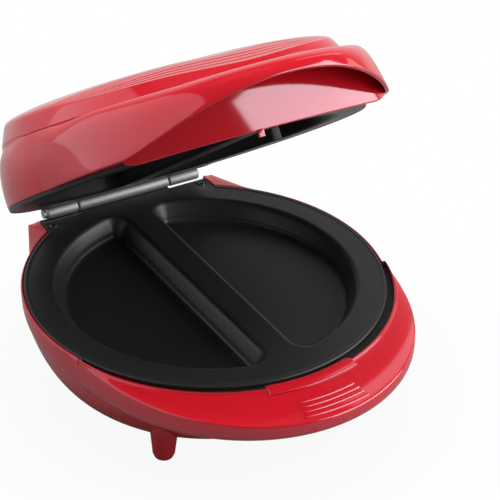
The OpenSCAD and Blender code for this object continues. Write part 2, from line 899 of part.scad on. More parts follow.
function cap_r(a) = mix(cap_side_r, cap_front_r, bump(a, 110, 2.6));
function crease_r(a) = mix(crease_side_r, crease_front_r, bump(a, 80, 1));
function crease_z(a) = mix(crease_side_z, crease_front_z, bump(a, 80, 1));
function peak_r(a) = lid_wall_r + peak_reach * brim(a);
function peak_z(a) =
    abs(a) < hollow_spread ? lid_rim_z + peak_arch * bump(a, hollow_spread - 1, 1.3)
    : abs(a) < notch_a - 4 ? lid_rim_z : lid_notch_z;
// The corner of that curve: level with the crease along the peak, and lower down at the sides
function corner_r(a) = peak_r(a) + 1 - 7 * bump(abs(a) - 42, 30, 1.5);
function corner_z(a) = mix(28, crease_z(a) + 1.2, ease((84 - abs(a)) / 40));
function corner_pull(a) = 1 + 0.8 * ease((84 - abs(a)) / 40);

// One section of the lid shell, down the outside and back up the inside
function lid_section(a) =
    let (
        rk = cap_r(a),
        p0 = [crease_r(a), crease_z(a)],
        p1 = [corner_r(a), corner_z(a)],
        p2 = [peak_r(a), peak_z(a)],
        pull = corner_pull(a),
        in_r = abs(a) < hollow_spread ? p2[0] - shell_wall : min(plate_r + 1, p2[0] - shell_wall),
        q0 = p0 - [shell_wall + 0.2, shell_wall - 0.2],
        q1 = p1 - [shell_wall + 0.3, shell_wall],
        q2 = p2 + [-shell_wall - 0.2, shell_wall + 0.1]
    )
    concat(
        [for (f = [0.25, 0.47, 0.65, 0.79, 0.89, 0.96]) [f * rk, dome_z(a, f)]],
        [[rk, cap_z(a) + 0.4]],
        [for (t = [0, 0.18, 0.38, 0.56, 0.72, 0.87, 1]) bend(p0, p1, p2, pull, t)],
        [[in_r, p2[1]], [in_r, p2[1] + shell_wall]],
        [for (t = [0.87, 0.72, 0.56, 0.38, 0.18, 0]) bend(q0, q1, q2, pull, t)],
        [[rk - shell_wall, cap_z(a) - shell_wall + 0.6]],
        [
            for (f = [0.96, 0.89, 0.79, 0.65, 0.47, 0.25])
                [f * (rk - shell_wall), dome_z(a, f) - shell_wall]
        ]
    );

lid_angles = let (
    right = concat(
        spread(0, hollow_spread, 16), [hollow_spread - 0.05, hollow_spread + 0.3],
        spread(hollow_spread + 3, 78, 10), spread(78, notch_a - 4, 14),
        [notch_a - 4 - step_a, notch_a - 4],
        spread(notch_a, 180, 5)
    )
) concat(both_sides(right), [180]);

// The whole object is centred on its reach from front to back, as it stands with its lid open
base_front_y = min([for (a = base_angles) for (p = base_section(a)) -p[0] * cos(a)]);
lid_rear_y = max([
    for (a = lid_angles)
        for (p = lid_section(a))
            hinge_y + (-p[0] * cos(a) - hinge_y) * cos(open_angle) + (p[1] - hinge_z) * sin(open_angle)
]);
shift_y = -(base_front_y + lid_rear_y) / 2;

module lid_shell() {
    color(red)
        on_lid()
            dome_skin(
                lid_angles, [for (a = lid_angles) lid_section(a)],
                dome_z(0, 0), dome_z(0, 0) - shell_wall
            );
}

// Radius of the front panel, a wide sweep that meets the peak's edge at both ends
function panel_r(a) =
    let (y = panel_sweep_r - panel_y)
    sqrt(pow(panel_sweep_r, 2) - pow(y * sin(a), 2)) - y * cos(a);

// Height of the peak's underside above radius r, found step by step along its curve
function under_peak_z(a, r) =
    let (
        p = [crease_r(a) - shell_wall - 0.2, crease_z(a) - shell_wall + 0.2],
        q = [corner_r(a) - shell_wall - 0.3, corner_z(a) - shell_wall],
        s = [peak_r(a) - shell_wall - 0.2, peak_z(a) + shell_wall + 0.1],
        curve = [for (i = [0 : 40]) bend(p, q, s, corner_pull(a), i / 40)],
        inside = [for (c = curve) if (c[0] <= r) c]
    )
    inside[len(inside) - 1][1];

// The panel's lower edge turns up in a quarter round at its ends
function panel_low_z(a) =
    let (t = max(0, (abs(a) - hollow_spread + 5) / 4.5))
    panel_rim_z + (lid_rim_z - 0.3 - panel_rim_z) * (1 - sqrt(max(0, 1 - t * t)));

panel_angles = [for (i = [-14 : 14]) (hollow_spread - 0.5) * i / 14];

// Recessed panel at the lid's front, behind the peak: the back wall of the finger hollow.
// A shelf on its back closes the lid down to the edge of the upper plate
module lid_front_panel() {
    wall = shell_wall - 0.3;
    in_r = lid_wall_r - shell_wall;
    shelf_top = lid_rim_z + 1.8;
    color(red)
        on_lid()
            wall_skin(panel_angles, [
                for (a = panel_angles)
                    let (r = panel_r(a), low = panel_low_z(a), top = under_peak_z(a, r) - seat - 0.8)
                    [
                        [r - wall, low], [r, low], [r, top], [r - wall, top],
                        [r - wall, shelf_top], [in_r, shelf_top], [in_r, lid_rim_z],
                        [r - wall, lid_rim_z]
                    ]
            ]);
}

// Tab that hangs from the panel's lower edge
module lid_latch_tab() {
    low_z = 0.2;
    color(red)
        on_lid()
            translate([-tab_left - tab_w / 2, -panel_r(0) + 0.2, low_z])
                cube([tab_w, 2.2, panel_rim_z - low_z]);
}

// Height of the dome's underside above the far edge of a post
function post_top_z(a) =
    dome_z(a, (boss_y + post_r) / (cap_r(a) - shell_wall)) - shell_wall - 0.6;

// Posts between the lid's dome and the upper plate's bosses
module lid_posts() {
    base_z = plate_gap - shield_z + shield_t + seat;
    color(red)
        on_lid()
            for (side = [-1, 1])
                translate([0, side * boss_y, base_z])
                    difference() {
                        cylinder(r = post_r, h = post_top_z(side < 0 ? 0 : 180) - base_z, $fn = 40);
                        translate([0, 0, -over]) cylinder(r = screw_hole_r, h = 12 + over, $fn = 24);
                    }
}

// Set screws that join the lid's posts to the upper plate's bosses
module upper_boss_screws() {
    base_z = plate_gap - shield_z + shield_t;
    color(steel)
        on_lid()
            for (side = [-1, 1])
                translate([0, side * boss_y, base_z - 9]) cylinder(r = screw_r, h = 19, $fn = 24);
}

// Leads in the lid, from the element's two cold ends to the middle of the hinge
module lid_wiring() {
    end_a = 90 + element_open_a + 2;
    end_x = -element_r * cos(end_a);
    end_y = element_r * sin(end_a);
    cold_end_z = plate_gap - element_z + cold_len;
    run_z = plate_gap - shield_z + shield_t + lead_r + seat;
    color(cream)
        on_lid()
            for (side = [-1, 1])
                lead([
                    [side * end_x, end_y, cold_end_z + 0.3],
                    [side * end_x * 0.985, end_y * 0.985, run_z - 1],
                    [side * end_x * 0.975, end_y * 0.975, run_z + 0.6],
                    [side * end_x * 0.95, end_y * 0.96, run_z + 1.2],
                    [side * end_x * 0.6, end_y - 8, run_z + 1.5],
                    [side * 10, end_y - 10, run_z], [side * 4, end_y - 10, run_z]
                ]);
}

base_shell();
bottom_cover();
leg(-1, -1);  // leg_front_left
leg(1, -1);  // leg_front_right
leg(-1, 1);  // leg_rear_left
leg(1, 1);  // leg_rear_right
lower_plate();
hinge_pin();
lower_element();
lower_element_clips();
lower_heat_shield();
thermostat();
thermal_fuse();
fuse_strap();
terminal_block();
cord_gland();
cord_clamp();
base_wiring();
lower_plate_screws();
bottom_cover_screws();
cord_clamp_screws();
lid_shell();
lid_front_panel();
lid_latch_tab();
upper_plate();
upper_element();
upper_element_clips();
upper_heat_shield();
lid_posts();
lid_wiring();
upper_plate_screws();
upper_boss_screws();
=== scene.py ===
# %% [markdown]
# Electric omelette maker
#
# This lesson dresses a finished model of a red countertop omelette maker. The solids and the
# hinge are already there as a fixed frame. What is left is what the eye notices: the soft
# edges of moulded plastic, the rolled lip of a cast plate, and how each surface takes light.
# All lengths below are in millimetres, because a maker measures such a thing in millimetres.
# Two helpers turn them into Blender's metres.

import json
import math

import bmesh
import bpy
from mathutils import Matrix, Vector


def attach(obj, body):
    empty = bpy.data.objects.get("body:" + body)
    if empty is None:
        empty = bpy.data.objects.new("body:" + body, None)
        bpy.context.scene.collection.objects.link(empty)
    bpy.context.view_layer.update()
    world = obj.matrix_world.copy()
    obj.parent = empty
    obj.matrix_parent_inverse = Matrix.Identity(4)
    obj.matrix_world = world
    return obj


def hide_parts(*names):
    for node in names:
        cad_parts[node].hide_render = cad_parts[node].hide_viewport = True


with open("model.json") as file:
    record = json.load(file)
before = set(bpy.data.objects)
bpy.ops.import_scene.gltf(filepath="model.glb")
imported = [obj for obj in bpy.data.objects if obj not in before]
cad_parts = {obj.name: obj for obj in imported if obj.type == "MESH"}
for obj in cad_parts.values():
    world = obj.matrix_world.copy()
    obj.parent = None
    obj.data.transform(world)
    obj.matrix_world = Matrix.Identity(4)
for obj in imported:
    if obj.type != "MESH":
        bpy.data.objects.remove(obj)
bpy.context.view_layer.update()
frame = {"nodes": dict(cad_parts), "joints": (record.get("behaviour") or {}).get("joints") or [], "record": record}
scene = bpy.context.scene

# %% [markdown]
# Two places to draw in
#
# The base is easiest to draw with the middle of the lower plate's top face as zero. The lid
# is easiest to draw shut, in the same place, and then swung open about the hinge. The hinge
# joint of the frame tells where both lie, so nothing has to be measured twice.

# %% Base space and lid space
HINGE = Vector(frame["joints"][0]["pos_m"])
HINGE_Y, HINGE_Z = 105.5, 3.0
OPEN = math.radians(37)
PLATE_R = 108.0
PLATE_GAP = 5.0


def base_point(x, y, z):
    """A point drawn in base space, in metres in the object's frame."""
    return Vector((x, y - HINGE_Y, z - HINGE_Z)) / 1000 + HINGE


def lid_point(x, y, z):
    """A point drawn in the shut lid, in metres, after the lid has swung open."""
    dy, dz = y - HINGE_Y, z - HINGE_Z
    turned = Vector((
        x,
        dy * math.cos(OPEN) + dz * math.sin(OPEN),
        -dy * math.sin(OPEN) + dz * math.cos(OPEN),
    ))
    return turned / 1000 + HINGE


print("plate centre at", [round(v, 4) for v in base_point(0, 0, 0)])

# %% [markdown]
# Small tools for shapes
#
# Most of this object is either a ring of cross-sections round a middle, like the two shells,
# or a stack of outlines, like the plates. Both end up as a grid of points with faces between
# them. A modifier could bevel the corners afterwards, but a corner that is rounded in the
# cross-section itself keeps its radius all the way round, as it does in a mould.


# %% Rounded cross-sections
def mix(a, b, t):
    return a + (b - a) * t


def bump(angle, half, power=1.0):
    """One at the front, falling to nothing at half degrees to either side."""
    if abs(angle) >= half:
        return 0.0
    return math.cos(math.radians(90 * angle / half)) ** power


def rounded(corners, steps=4, closed=True):
    """Fillets a polyline. Each corner is (r, z, radius). Every corner gives steps + 1 points."""
    out = []
    n = len(corners)
    for i, (x, y, radius) in enumerate(corners):
        if radius <= 0 or (not closed and i in (0, n - 1)):
            out.append((x, y))
            continue
        here = Vector((x, y))
        before = Vector(corners[i - 1][:2]) - here
        after = Vector(corners[(i + 1) % n][:2]) - here
        reach = min(radius, 0.48 * before.length, 0.48 * after.length)
        p = here + before.normalized() * reach
        q = here + after.normalized() * reach
        for k in range(steps + 1):
            t = k / steps
            point = (1 - t) ** 2 * p + 2 * t * (1 - t) * here + t * t * q
            out.append((point.x, point.y))
    return out


def ease(x):
    """A smooth rise from nothing to one."""
    t = max(0.0, min(1.0, x))
    return t * t * (3 - 2 * t)


def bend(p, q, r, pull, t):
    """A point on the curve from p to r. A pull above one draws it closer to its corner q."""
    w = ((1 - t) ** 2, 2 * t * (1 - t) * pull, t * t)
    return tuple((w[0] * a + w[1] * b + w[2] * c) / sum(w) for a, b, c in zip(p, q, r))


print("a filleted square has", len(rounded([(0, 0, 1), (9, 0, 1), (9, 9, 1), (0, 9, 1)])), "points")


# %% Meshes from grids
def new_piece(name, points, faces, body, sharp=40):
    """Makes a mesh object that rides on a body."""
    mesh = bpy.data.meshes.new(name)
    mesh.from_pydata(points, [], faces)
    mesh.validate()
    bm = bmesh.new()
    bm.from_mesh(mesh)
    bmesh.ops.remove_doubles(bm, verts=bm.verts, dist=1e-6)
    bmesh.ops.recalc_face_normals(bm, faces=bm.faces)
    bm.to_mesh(mesh)
    bm.free()
    for polygon in mesh.polygons:
        polygon.use_smooth = True
    mesh.set_sharp_from_angle(angle=math.radians(sharp))
    piece = bpy.data.objects.new(name, mesh)
    scene.collection.objects.link(piece)
    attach(piece, body)
    return piece


def built_piece(name, bm, body, sharp):
    """A piece from a finished bmesh."""
    bm.verts.index_update()
    points = [v.co.copy() for v in bm.verts]
    faces = [tuple(v.index for v in f.verts) for f in bm.faces]
    bm.free()
    return new_piece(name, points, faces, body, sharp)


def grid_faces(rows, columns, wrap_rows, wrap_columns):
    """Quads between neighbouring rows of points."""
    faces = []
    for i in range(rows if wrap_rows else rows - 1):
        for j in range(columns if wrap_columns else columns - 1):
            k, m = (i + 1) % rows, (j + 1) % columns
            faces.append((
                i * columns + j, i * columns + m, k * columns + m, k * columns + j))
    return faces


def swept_points(angles, rows, place):
    """Points of the cross-sections in rows, each turned to its own angle from the front."""
    return [
        place(r * math.sin(math.radians(a)), -r * math.cos(math.radians(a)), z)
        for a, row in zip(angles, rows)
        for r, z in row
    ]


def ring_piece(name, angles, section, place, body, sharp=40):
    """A ring-shaped skin: section(angle) is a closed outline of (r, z) points."""
    rows = [section(a) for a in angles]
    faces = grid_faces(len(rows), len(rows[0]), True, True)
    return new_piece(name, swept_points(angles, rows, place), faces, body, sharp)


print("grid of 3 by 4 has", len(grid_faces(3, 4, False, False)), "faces")

# %% [markdown]
# The base shell
#
# The real base is one moulding: a bowl whose front runs out into a handle like the peak of a
# cap. Its top carries a raised lip round the plate, and a stepped strip in the middle of the
# front. A sculpted surface could follow it, but the mould's own logic is simpler: one
# cross-section, whose reach swells towards the front. The rear is straight-sided, so that
# the lid's hinge has room.

# %% Base shell: plan and heights
BOWL_TOP_R, BOWL_BOTTOM_R, BOWL_DEPTH, BOWL_POWER = 109.5, 84.0, 54.0, 1.24
HANDLE_REACH, HANDLE_SPREAD = 34.0, 74.0
EDGE_Z, EDGE_DROP = -1.5, 3.4
RIM_Z, SIDE_RIM_Z, REAR_RIM_Z = 0.5, -0.6, -8.0
RIM_FRONT_R, RIM_SHIFT, RIM_SIDE_R, RIM_SIDE_X = 109.0, 5.3, 108.4, 59.4
REAR_HALF, REAR_Y = 66.0, 106.0
TIP_A, EAR_A = 70.0, 133.0
BEAD_W, BEAD_H = 1.6, 1.0
CORNER_A = 180 - math.degrees(math.atan(REAR_HALF / REAR_Y))
NOTCH_A = 180 - math.degrees(math.atan(60 / REAR_Y))
FLANK_A = 180 - math.degrees(math.asin(RIM_SIDE_X / RIM_SIDE_R))


def bowl(t):
    """The bowl's curve: t is 0 at the rim and 90 at the underside."""
    c, s = math.cos(math.radians(t)), math.sin(math.radians(t))
    return (
        BOWL_BOTTOM_R + (BOWL_TOP_R - BOWL_BOTTOM_R) * max(c, 0) ** BOWL_POWER,
        -BOWL_DEPTH * max(s, 0) ** BOWL_POWER,
    )


def bowl_t(z):
    return math.degrees(math.asin((-z / BOWL_DEPTH) ** (1 / BOWL_POWER)))


def plan_r(a):
    """Plan outline without the handle: round, with a straight-sided rear."""
    a = abs(a)
    if a <= EAR_A:
        return BOWL_TOP_R
    if a >= CORNER_A:
        return REAR_Y / abs(math.cos(math.radians(a)))
    ex = BOWL_TOP_R * math.sin(math.radians(EAR_A))
    ey = -BOWL_TOP_R * math.cos(math.radians(EAR_A))
    s, c = math.sin(math.radians(a)), abs(math.cos(math.radians(a)))
    return (ex * REAR_Y - ey * REAR_HALF) / (s * (REAR_Y - ey) - c * (REAR_HALF - ex))


def rim_r(a):
    """Inner edge of the base's rim."""
    b = abs(a)
    c, s = math.cos(math.radians(b)), math.sin(math.radians(b))
    if b < TIP_A:
        return RIM_SHIFT * c + math.sqrt(RIM_FRONT_R ** 2 - (RIM_SHIFT * s) ** 2)
    if b <= FLANK_A:
        return RIM_SIDE_R
    if b < NOTCH_A:
        return min(RIM_SIDE_X / s, plan_r(a) - 1.1)
    return plan_r(a) - 2.5


def rim_z(a):
    return RIM_Z if abs(a) < TIP_A else (SIDE_RIM_Z if abs(a) < NOTCH_A else REAR_RIM_Z)


def handle_share(a):
    """One where the handle reaches furthest, nothing where it has faded."""
    return bump(a, HANDLE_SPREAD, 1.4)


def rear_share(z):
    """How much of the straight-sided rear is left at height z."""
    return max(0.0, min(1.0, (BOWL_DEPTH - 8 + z) / (BOWL_DEPTH - 24))) ** 1.5


def base_section(a):
    b = handle_share(a)
    e = plan_r(a) - BOWL_TOP_R
    ri, zr = rim_r(a), rim_z(a)
    edge_r = plan_r(a) + HANDLE_REACH * b
    edge_z = min(EDGE_Z - EDGE_DROP * b, zr - 1.2)
    low_z = mix(-22.0, -17.2, b)
    low_r = bowl(bowl_t(-22))[0] + e * rear_share(-24) + HANDLE_REACH * b
    mid_z = (edge_z + low_z) / 2
    mid_r = bowl(bowl_t(mid_z * 0.6))[0] + e * rear_share(mid_z) + (HANDLE_REACH + 1.5) * b
    seat_z = min(-3.55, zr - 1.2)
    seat_r = 106.2 if abs(a) < NOTCH_A else ri - 1.2
    lip = BEAD_H if abs(a) < TIP_A else 0.05
    lip_w = min(BEAD_W, (edge_r - ri) * 0.3)
    root = bowl_t(-24)
    ts = [root + (89.5 - root) * k / 15 for k in range(16)]
    outside = [bowl(t) for t in reversed(ts)]
    # The wall under the handle leaves the bowl in a soft hollow
    corners = [(80.0, -BOWL_DEPTH, 0.6)]
    corners += [(r + e * rear_share(z), z, 0) for r, z in outside]
    corners += [
        (low_r, low_z, 2.5 + 2 * b), (mid_r, mid_z, 2.5), (edge_r, edge_z, 1.1),
        (mix(ri + lip_w, edge_r, 0.5), mix(zr - lip, edge_z, 0.42), 1.0),
        (ri + lip_w + 0.35, zr - lip, 0.3), (ri + lip_w, zr, 0.6), (ri, zr, 0.8),
        (ri, seat_z, 0.3), (seat_r, seat_z, 0.3), (seat_r, seat_z - 2.5, 0.3),
        (max(edge_r - 3.2, seat_r + 0.1), min(edge_z - 2.5, seat_z - 2.5) - 0.8, 0.8),
        (low_r - 3.1, low_z + 2.5, 1.5),
    ]
    inside = []
    for t in ts[::3]:
        r, z = bowl(t)
        inside.append((r - 2.7 + e * rear_share(z), z + (2.5 if t == root else 0.6), 0))
    corners += inside + [(80.0, -BOWL_DEPTH + 2.5, 0.3)]
    return rounded(corners, 3)


print("front handle reaches", round(max(p[0] for p in base_section(0)), 1), "mm from the middle")


# %% Base shell: skin
def base_angles():
    right = [k * 1.0 for k in range(0, 70)]
    right += [TIP_A - 0.3, TIP_A - 0.02, TIP_A + 0.35, TIP_A + 0.7]
    right += [71.5 + k * 1.5 for k in range(42)]
    right += [EAR_A + k * 1.5 for k in range(1, 9)]
    right += [FLANK_A, CORNER_A - 0.5, CORNER_A, CORNER_A + 0.5]
    right += [NOTCH_A + d for d in (-0.4, -0.05, 0, 0.6, 2)] + [153 + k * 3 for k in range(9)]
    right = sorted(set(round(a, 4) for a in right))
    keep = [a for i, a in enumerate(right) if i == 0 or a - right[i - 1] > 0.04]
    return [-a for a in reversed(keep[1:])] + keep + [180.0]


base_shell = ring_piece(
    "Base_shell", base_angles(), base_section, base_point, "base", 32)
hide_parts("base_shell")
print("base shell has", len(base_shell.data.polygons), "faces")

# %% [markdown]
# Grip ribs
#
# Four thin raised arcs on the handle's top stop a thumb from slipping. They are half-round
# bars that follow the handle's own curve and slope, with rounded ends.


# %% Grip ribs
FRONT_A, RIB_FIRST_R, RIB_PITCH, RIB_HALF_W = 0.7, 128.8, 3.5, 1.15


def handle_top_z(r, a):
    """Height of the handle's top at radius r."""
    reach = handle_share(a)
    edge_r, edge_z = plan_r(a) + HANDLE_REACH * reach, EDGE_Z - EDGE_DROP * reach
    ri, top = rim_r(a) + BEAD_W, RIM_Z - BEAD_H
    middle = mix(top, edge_z, 0.42)
    t = (r - ri) / (edge_r - ri)
    return mix(top, middle, t / 0.5) if t < 0.5 else mix(middle, edge_z, (t - 0.5) / 0.5)


def rib(index):
    r0 = RIB_FIRST_R + RIB_PITCH * index
    half = math.degrees((18.2 + 1.0 * index) / r0)
    rows = []
    count = 28
    for i in range(count + 1):
        u = 2 * i / count - 1
        a = FRONT_A + half * math.sin(math.radians(90 * u))
        shrink = math.sqrt(max(0.0, 1 - abs(u) ** 14))
        row = []
        for k in range(11):
            s = math.radians(180 * k / 10)
            r = r0 + RIB_HALF_W * shrink * math.cos(s)
            lift = RIB_HALF_W * shrink * math.sin(s)
            row.append(base_point(
                r * math.sin(math.radians(a)), -r * math.cos(math.radians(a)),
                handle_top_z(r, a) - 0.15 + lift))
        rows.append(row)
    points = [p for row in rows for p in row]
    return points, grid_faces(count + 1, 11, False, True)


rib_points, rib_faces = [], []
for index in range(4):
    points, faces = rib(index)
    offset = len(rib_points)
    rib_points += points
    rib_faces += [tuple(v + offset for v in f) for f in faces]
grip_ribs = new_piece("Grip_ribs", rib_points, rib_faces, "base", 60)
print("grip ribs:", len(rib_faces), "faces")

# %% [markdown]
# The front strip and the dark recess
#
# In the middle of the front, a strip stands up from the rim and closes most of the gap to the
# plate. It is swept like the rim, with ends that drop in a short round. Between plate and rim
# runs a recess whose floor lies in deep shade. A thin black sheet lies there as painted shade.
# It rises at both ends, so the notch where the recess closes is painted dark as well.


# %% Front strip and painted shade in the recess
def arc_piece(name, angles, section, place, body, sharp=40):
    """A swept strip with two ends. section(angle) is a closed outline of (r, z) points."""
    rows = [section(a) for a in angles]
    n, m = len(rows), len(rows[0])
    faces = grid_faces(n, m, False, True)
    faces += [tuple(range(m)), tuple((n - 1) * m + k for k in range(m))]
    return new_piece(name, swept_points(angles, rows, place), faces, body, sharp)


STRIP_FROM, STRIP_TO, STRIP_IN, STRIP_OUT = -13.6, 14.6, 113.2, 119.4
SHADE_SHEET_Z = -3.24


def strip_section(a):
    end = min(a - STRIP_FROM, STRIP_TO - a) / 0.5
    drop = 1.3 * (1 - math.sqrt(max(0.0, 1 - (1 - min(1.0, end)) ** 2)))
    outer_top = handle_top_z(STRIP_OUT, a) + 1.25 - drop
    return rounded([
        (110.8, -3.4, 0.2), (STRIP_OUT + 0.3, -3.4, 0.2), (STRIP_OUT + 0.3, outer_top - 0.45, 0.35),
        (STRIP_OUT, outer_top, 0.6), (STRIP_IN + 1.9, 1.2 - drop, 0.8),
        (STRIP_IN, 0.95 - drop, 0.6),
        (STRIP_IN - 0.1, -0.15 - drop, 0.2), (110.8, -0.25 - drop, 0.4),
    ], 3)


strip_angles = [STRIP_FROM + k * 0.08 for k in range(7)]
strip_angles += [mix(STRIP_FROM + 0.6, STRIP_TO - 0.6, k / 40) for k in range(41)]
strip_angles += [STRIP_TO - 0.48 + k * 0.08 for k in range(7)]
front_strip = arc_piece("Front_strip", strip_angles, strip_section, base_point, "base")


# Section of the black sheet of painted shade: flat on the recess floor, rising at both ends.
def painted_shade_section(a):
    outer = rim_r(min(abs(a), TIP_A - 0.02)) - 0.12
    top = SHADE_SHEET_Z + 3.6 * ease((abs(a) - 68.6) / 1.2)
    return [
        (106.4, SHADE_SHEET_Z - 0.26), (outer, SHADE_SHEET_Z - 0.26), (outer, top), (108.5, top),
        (108.45, SHADE_SHEET_Z), (106.4, SHADE_SHEET_Z),
    ]


# A thin black sheet on the recess floor, as painted shade.
recess_painted_shade = arc_piece(
    "Recess_painted_shade", [mix(-TIP_A - 0.3, TIP_A + 0.3, k / 280) for k in range(281)], painted_shade_section,
    base_point, "base")
print("strip and painted shade:", len(front_strip.data.polygons) + len(recess_painted_shade.data.polygons), "faces")

# %% [markdown]
# The lid shell
#
# The lid is a dome with a crisp cap edge. Below that edge a short wall meets the peak, which
# runs out over the front as the handle and fades into the lid's sides. The peak's lower edge
# arches up, so fingers fit beneath. Three low terraces step down the dome's front, each with a
# fine groove at its foot. All of it is again one cross-section that changes with the angle
# from the front. Its rows of points follow the terraces, so that no step is cut ragged.

# %% Lid shell: levels and radii
LID_WALL_R = PLATE_R + 0.3
LID_RIM_Z, LID_NOTCH_Z = 7.4, 9.5
CAP_FRONT_Z, CAP_REAR_Z, CROWN_H, DOME_T = 43.2, 56.5, 11.0, 4.9
PEAK_REACH, PEAK_ARCH, HOLLOW = 36.8, 19.2, 42.0
LID_NOTCH_A = NOTCH_A - 4
TERRACE_A, TERRACE_HALF, TERRACE_SLOPE = -8.0, 58, 0.23
FIRST_STEP, STEP_PITCH, LEAST_SHARE = 8.0, 6.5, 0.25


def cap_r(a):
    return mix(PLATE_R - 11, PLATE_R - 3, bump(a, 110, 2.6))


def cap_z(a):
    rise = ((1 - math.cos(math.radians(a))) / 2) ** 0.75
    return mix(CAP_FRONT_Z, CAP_REAR_Z, rise) - 1.4 * bump(a, 30, 2)


def crown(f):
    """Height of the dome's round above its base, at the share f of its radius."""
    return CROWN_H * math.sqrt(max(0.0, 1 - f * f))


# A terrace's edge in section: distance inward from the edge, and height
STEP = [(-0.45, 0.0), (-0.3, -0.3), (-0.12, -0.3), (0.05, 0.0), (0.2, 0.22), (0.5, 0.28)]


def step_height(x):
    """One terrace's edge: a fine groove at the foot of a low rise."""
    if x <= STEP[0][0]:
        return 0.0
    for (x0, z0), (x1, z1) in zip(STEP, STEP[1:]):
        if x <= x1:
            return mix(z0, z1, (x - x0) / (x1 - x0))
    return STEP[-1][1]


def terrace_share(a):
    """One in the middle of the terraces, nothing at their ends."""
    return bump(a - TERRACE_A, TERRACE_HALF)


def step_at(k, w):
    """Distance of a terrace's edge from the cap's edge."""
    return (FIRST_STEP + STEP_PITCH * k) * max(w, LEAST_SHARE)


def stair(d, w):
    """Height of the three shallow terraces, at a distance d in from the cap's edge."""
    return TERRACE_SLOPE * d + sum(ease(1.8 * w) * step_height(d - step_at(k, w)) for k in range(3))


def terrace(a, r):
    """How far the dome steps down at radius r, where the terraces are cut into its front."""
    w = terrace_share(a)
    if w <= 0.02:
        return 0.0
    d = cap_r(a) - r
    deep = crown(r / cap_r(a)) - stair(d, w)
    return max(0.0, deep) * min(1.0, 1.6 * w) * ease((30 * w + 6 - d) / 9)


def dome_z(a, f):
    """The dome leans up to the rear, so its edge is not level."""
    middle = (CAP_FRONT_Z + CAP_REAR_Z) / 2
    lean = (CAP_FRONT_Z - CAP_REAR_Z) / 2 * math.cos(math.radians(a))
    return middle + lean * f + (cap_z(a) - middle - lean) * f * f + crown(f)


def dome_rows(a):
    """Distances from the cap's edge at which the dome is cut, close together at each terrace."""
    w = terrace_share(a)
    edges = [step_at(k, w) for k in (2, 1, 0)]
    rows = []
    start, count = 40.0, 14
    for edge in edges:
        stop = edge + 0.7
        rows += [mix(start, stop, k / count) for k in range(count)]
        rows += [edge + x for x in (0.7, 0.5, 0.35, 0.2, 0.05, -0.12, -0.3, -0.45)]
        start, count = edge - 0.6, 5
    return rows + [mix(start, 1.3, k / 7) for k in range(8)]


def crease_r(a):
    return mix(PLATE_R - 5.5, PLATE_R + 1, bump(a, 80))


def crease_z(a):
    return mix(40.2, 36.6, bump(a, 80))


def crease_fade(a):
    """The crease is crisp at the front and soft behind. This goes from nothing to one."""
    return ease((abs(a) - 78) / 14)


def peak_r(a):
    return LID_WALL_R + PEAK_REACH * handle_share(a)


def peak_z(a):
    if abs(a) < HOLLOW:
        return LID_RIM_Z + PEAK_ARCH * bump(a, HOLLOW - 1, 1.3)
    return LID_RIM_Z if abs(a) < LID_NOTCH_A else LID_NOTCH_Z


def side_curve(a, count, inner=False):
    """The lid's side and peak, from the crease down to the rim. inner gives the hidden face."""
    p = (crease_r(a), crease_z(a))
    high = crease_z(a) + 1.2 + 2.6 * bump(abs(a) - 50, 26)
    front = ease((84 - abs(a)) / 40)
    q_r = peak_r(a) + 1 - 7 * bump(abs(a) - 42, 30, 1.5) - 2.4 * bump(a - 6, 32)
    q = (q_r, mix(28.0, high, front))
    r = (peak_r(a), peak_z(a))
    if inner:
        p, q, r = (p[0] - 2.7, p[1] - 2.3), (q[0] - 2.8, q[1] - 2.5), (r[0] - 2.7, r[1] + 2.6)
    pull = 1 + 0.8 * front
    first = 0.0 if inner else 0.17 * crease_fade(a)
    return [bend(p, q, r, pull, mix(first, 1.0, k / count)) for k in range(count + 1)]


print("peak stands out to", round(peak_r(0), 1), "mm")


# %% Lid shell: skin
def lid_section(a):
    rk = cap_r(a)
    p0, p2 = (crease_r(a), crease_z(a)), (peak_r(a), peak_z(a))
    in_r = p2[0] - 2.5 if abs(a) < HOLLOW else min(PLATE_R + 1, p2[0] - 2.5)
    fs = [0.04, 0.12, 0.2, 0.28, 0.36, 0.44, 0.52, 0.58] + [1 - d / rk for d in dome_rows(a)]
    corners = [(f * rk, dome_z(a, f) - terrace(a, f * rk), 0) for f in fs]
    # The cap's edge, its wall, and the fine groove at the wall's foot
    corners += [(rk, cap_z(a) + 0.4, 0.9)]
    foot = Vector((p0[0] - rk, p0[1] - cap_z(a) - 0.4)).normalized()
    soft = crease_fade(a)
    near, far = mix(0.4, 2.6, soft), mix(0.9, 3.4, soft)
    corners += [(p0[0] - far * foot.x, p0[1] - far * foot.y, 0.2)]
    crisp = 1 - soft
    corners += [(p0[0] - 0.6 * crisp - near * foot.x, p0[1] - 0.05 * crisp - near * foot.y, 0.15)]
    crease_round = 2.0 if soft > 0.5 else mix(0.35, 2.0, soft)
    corners += [(p0[0] - 0.7 * soft, p0[1] - 0.3 * soft, crease_round)]
    corners += [(r, z, 0) for r, z in side_curve(a, 22)[1:-1]]
    corners += [(p2[0], p2[1], 1.1), (in_r, p2[1], 0.6), (in_r, p2[1] + 2.5, 0.4)]
    corners += [(r, z, 0) for r, z in reversed(side_curve(a, 12, True)[:-1])]
    corners += [(rk - 2.5, cap_z(a) - 4.6, 0.5)]
    inner = (0.95, 0.85, 0.7, 0.5, 0.3, 0.1)
    corners += [(f * (rk - 2.5), dome_z(a, f) - DOME_T, 0) for f in inner]
    return rounded(corners, 4, closed=False)


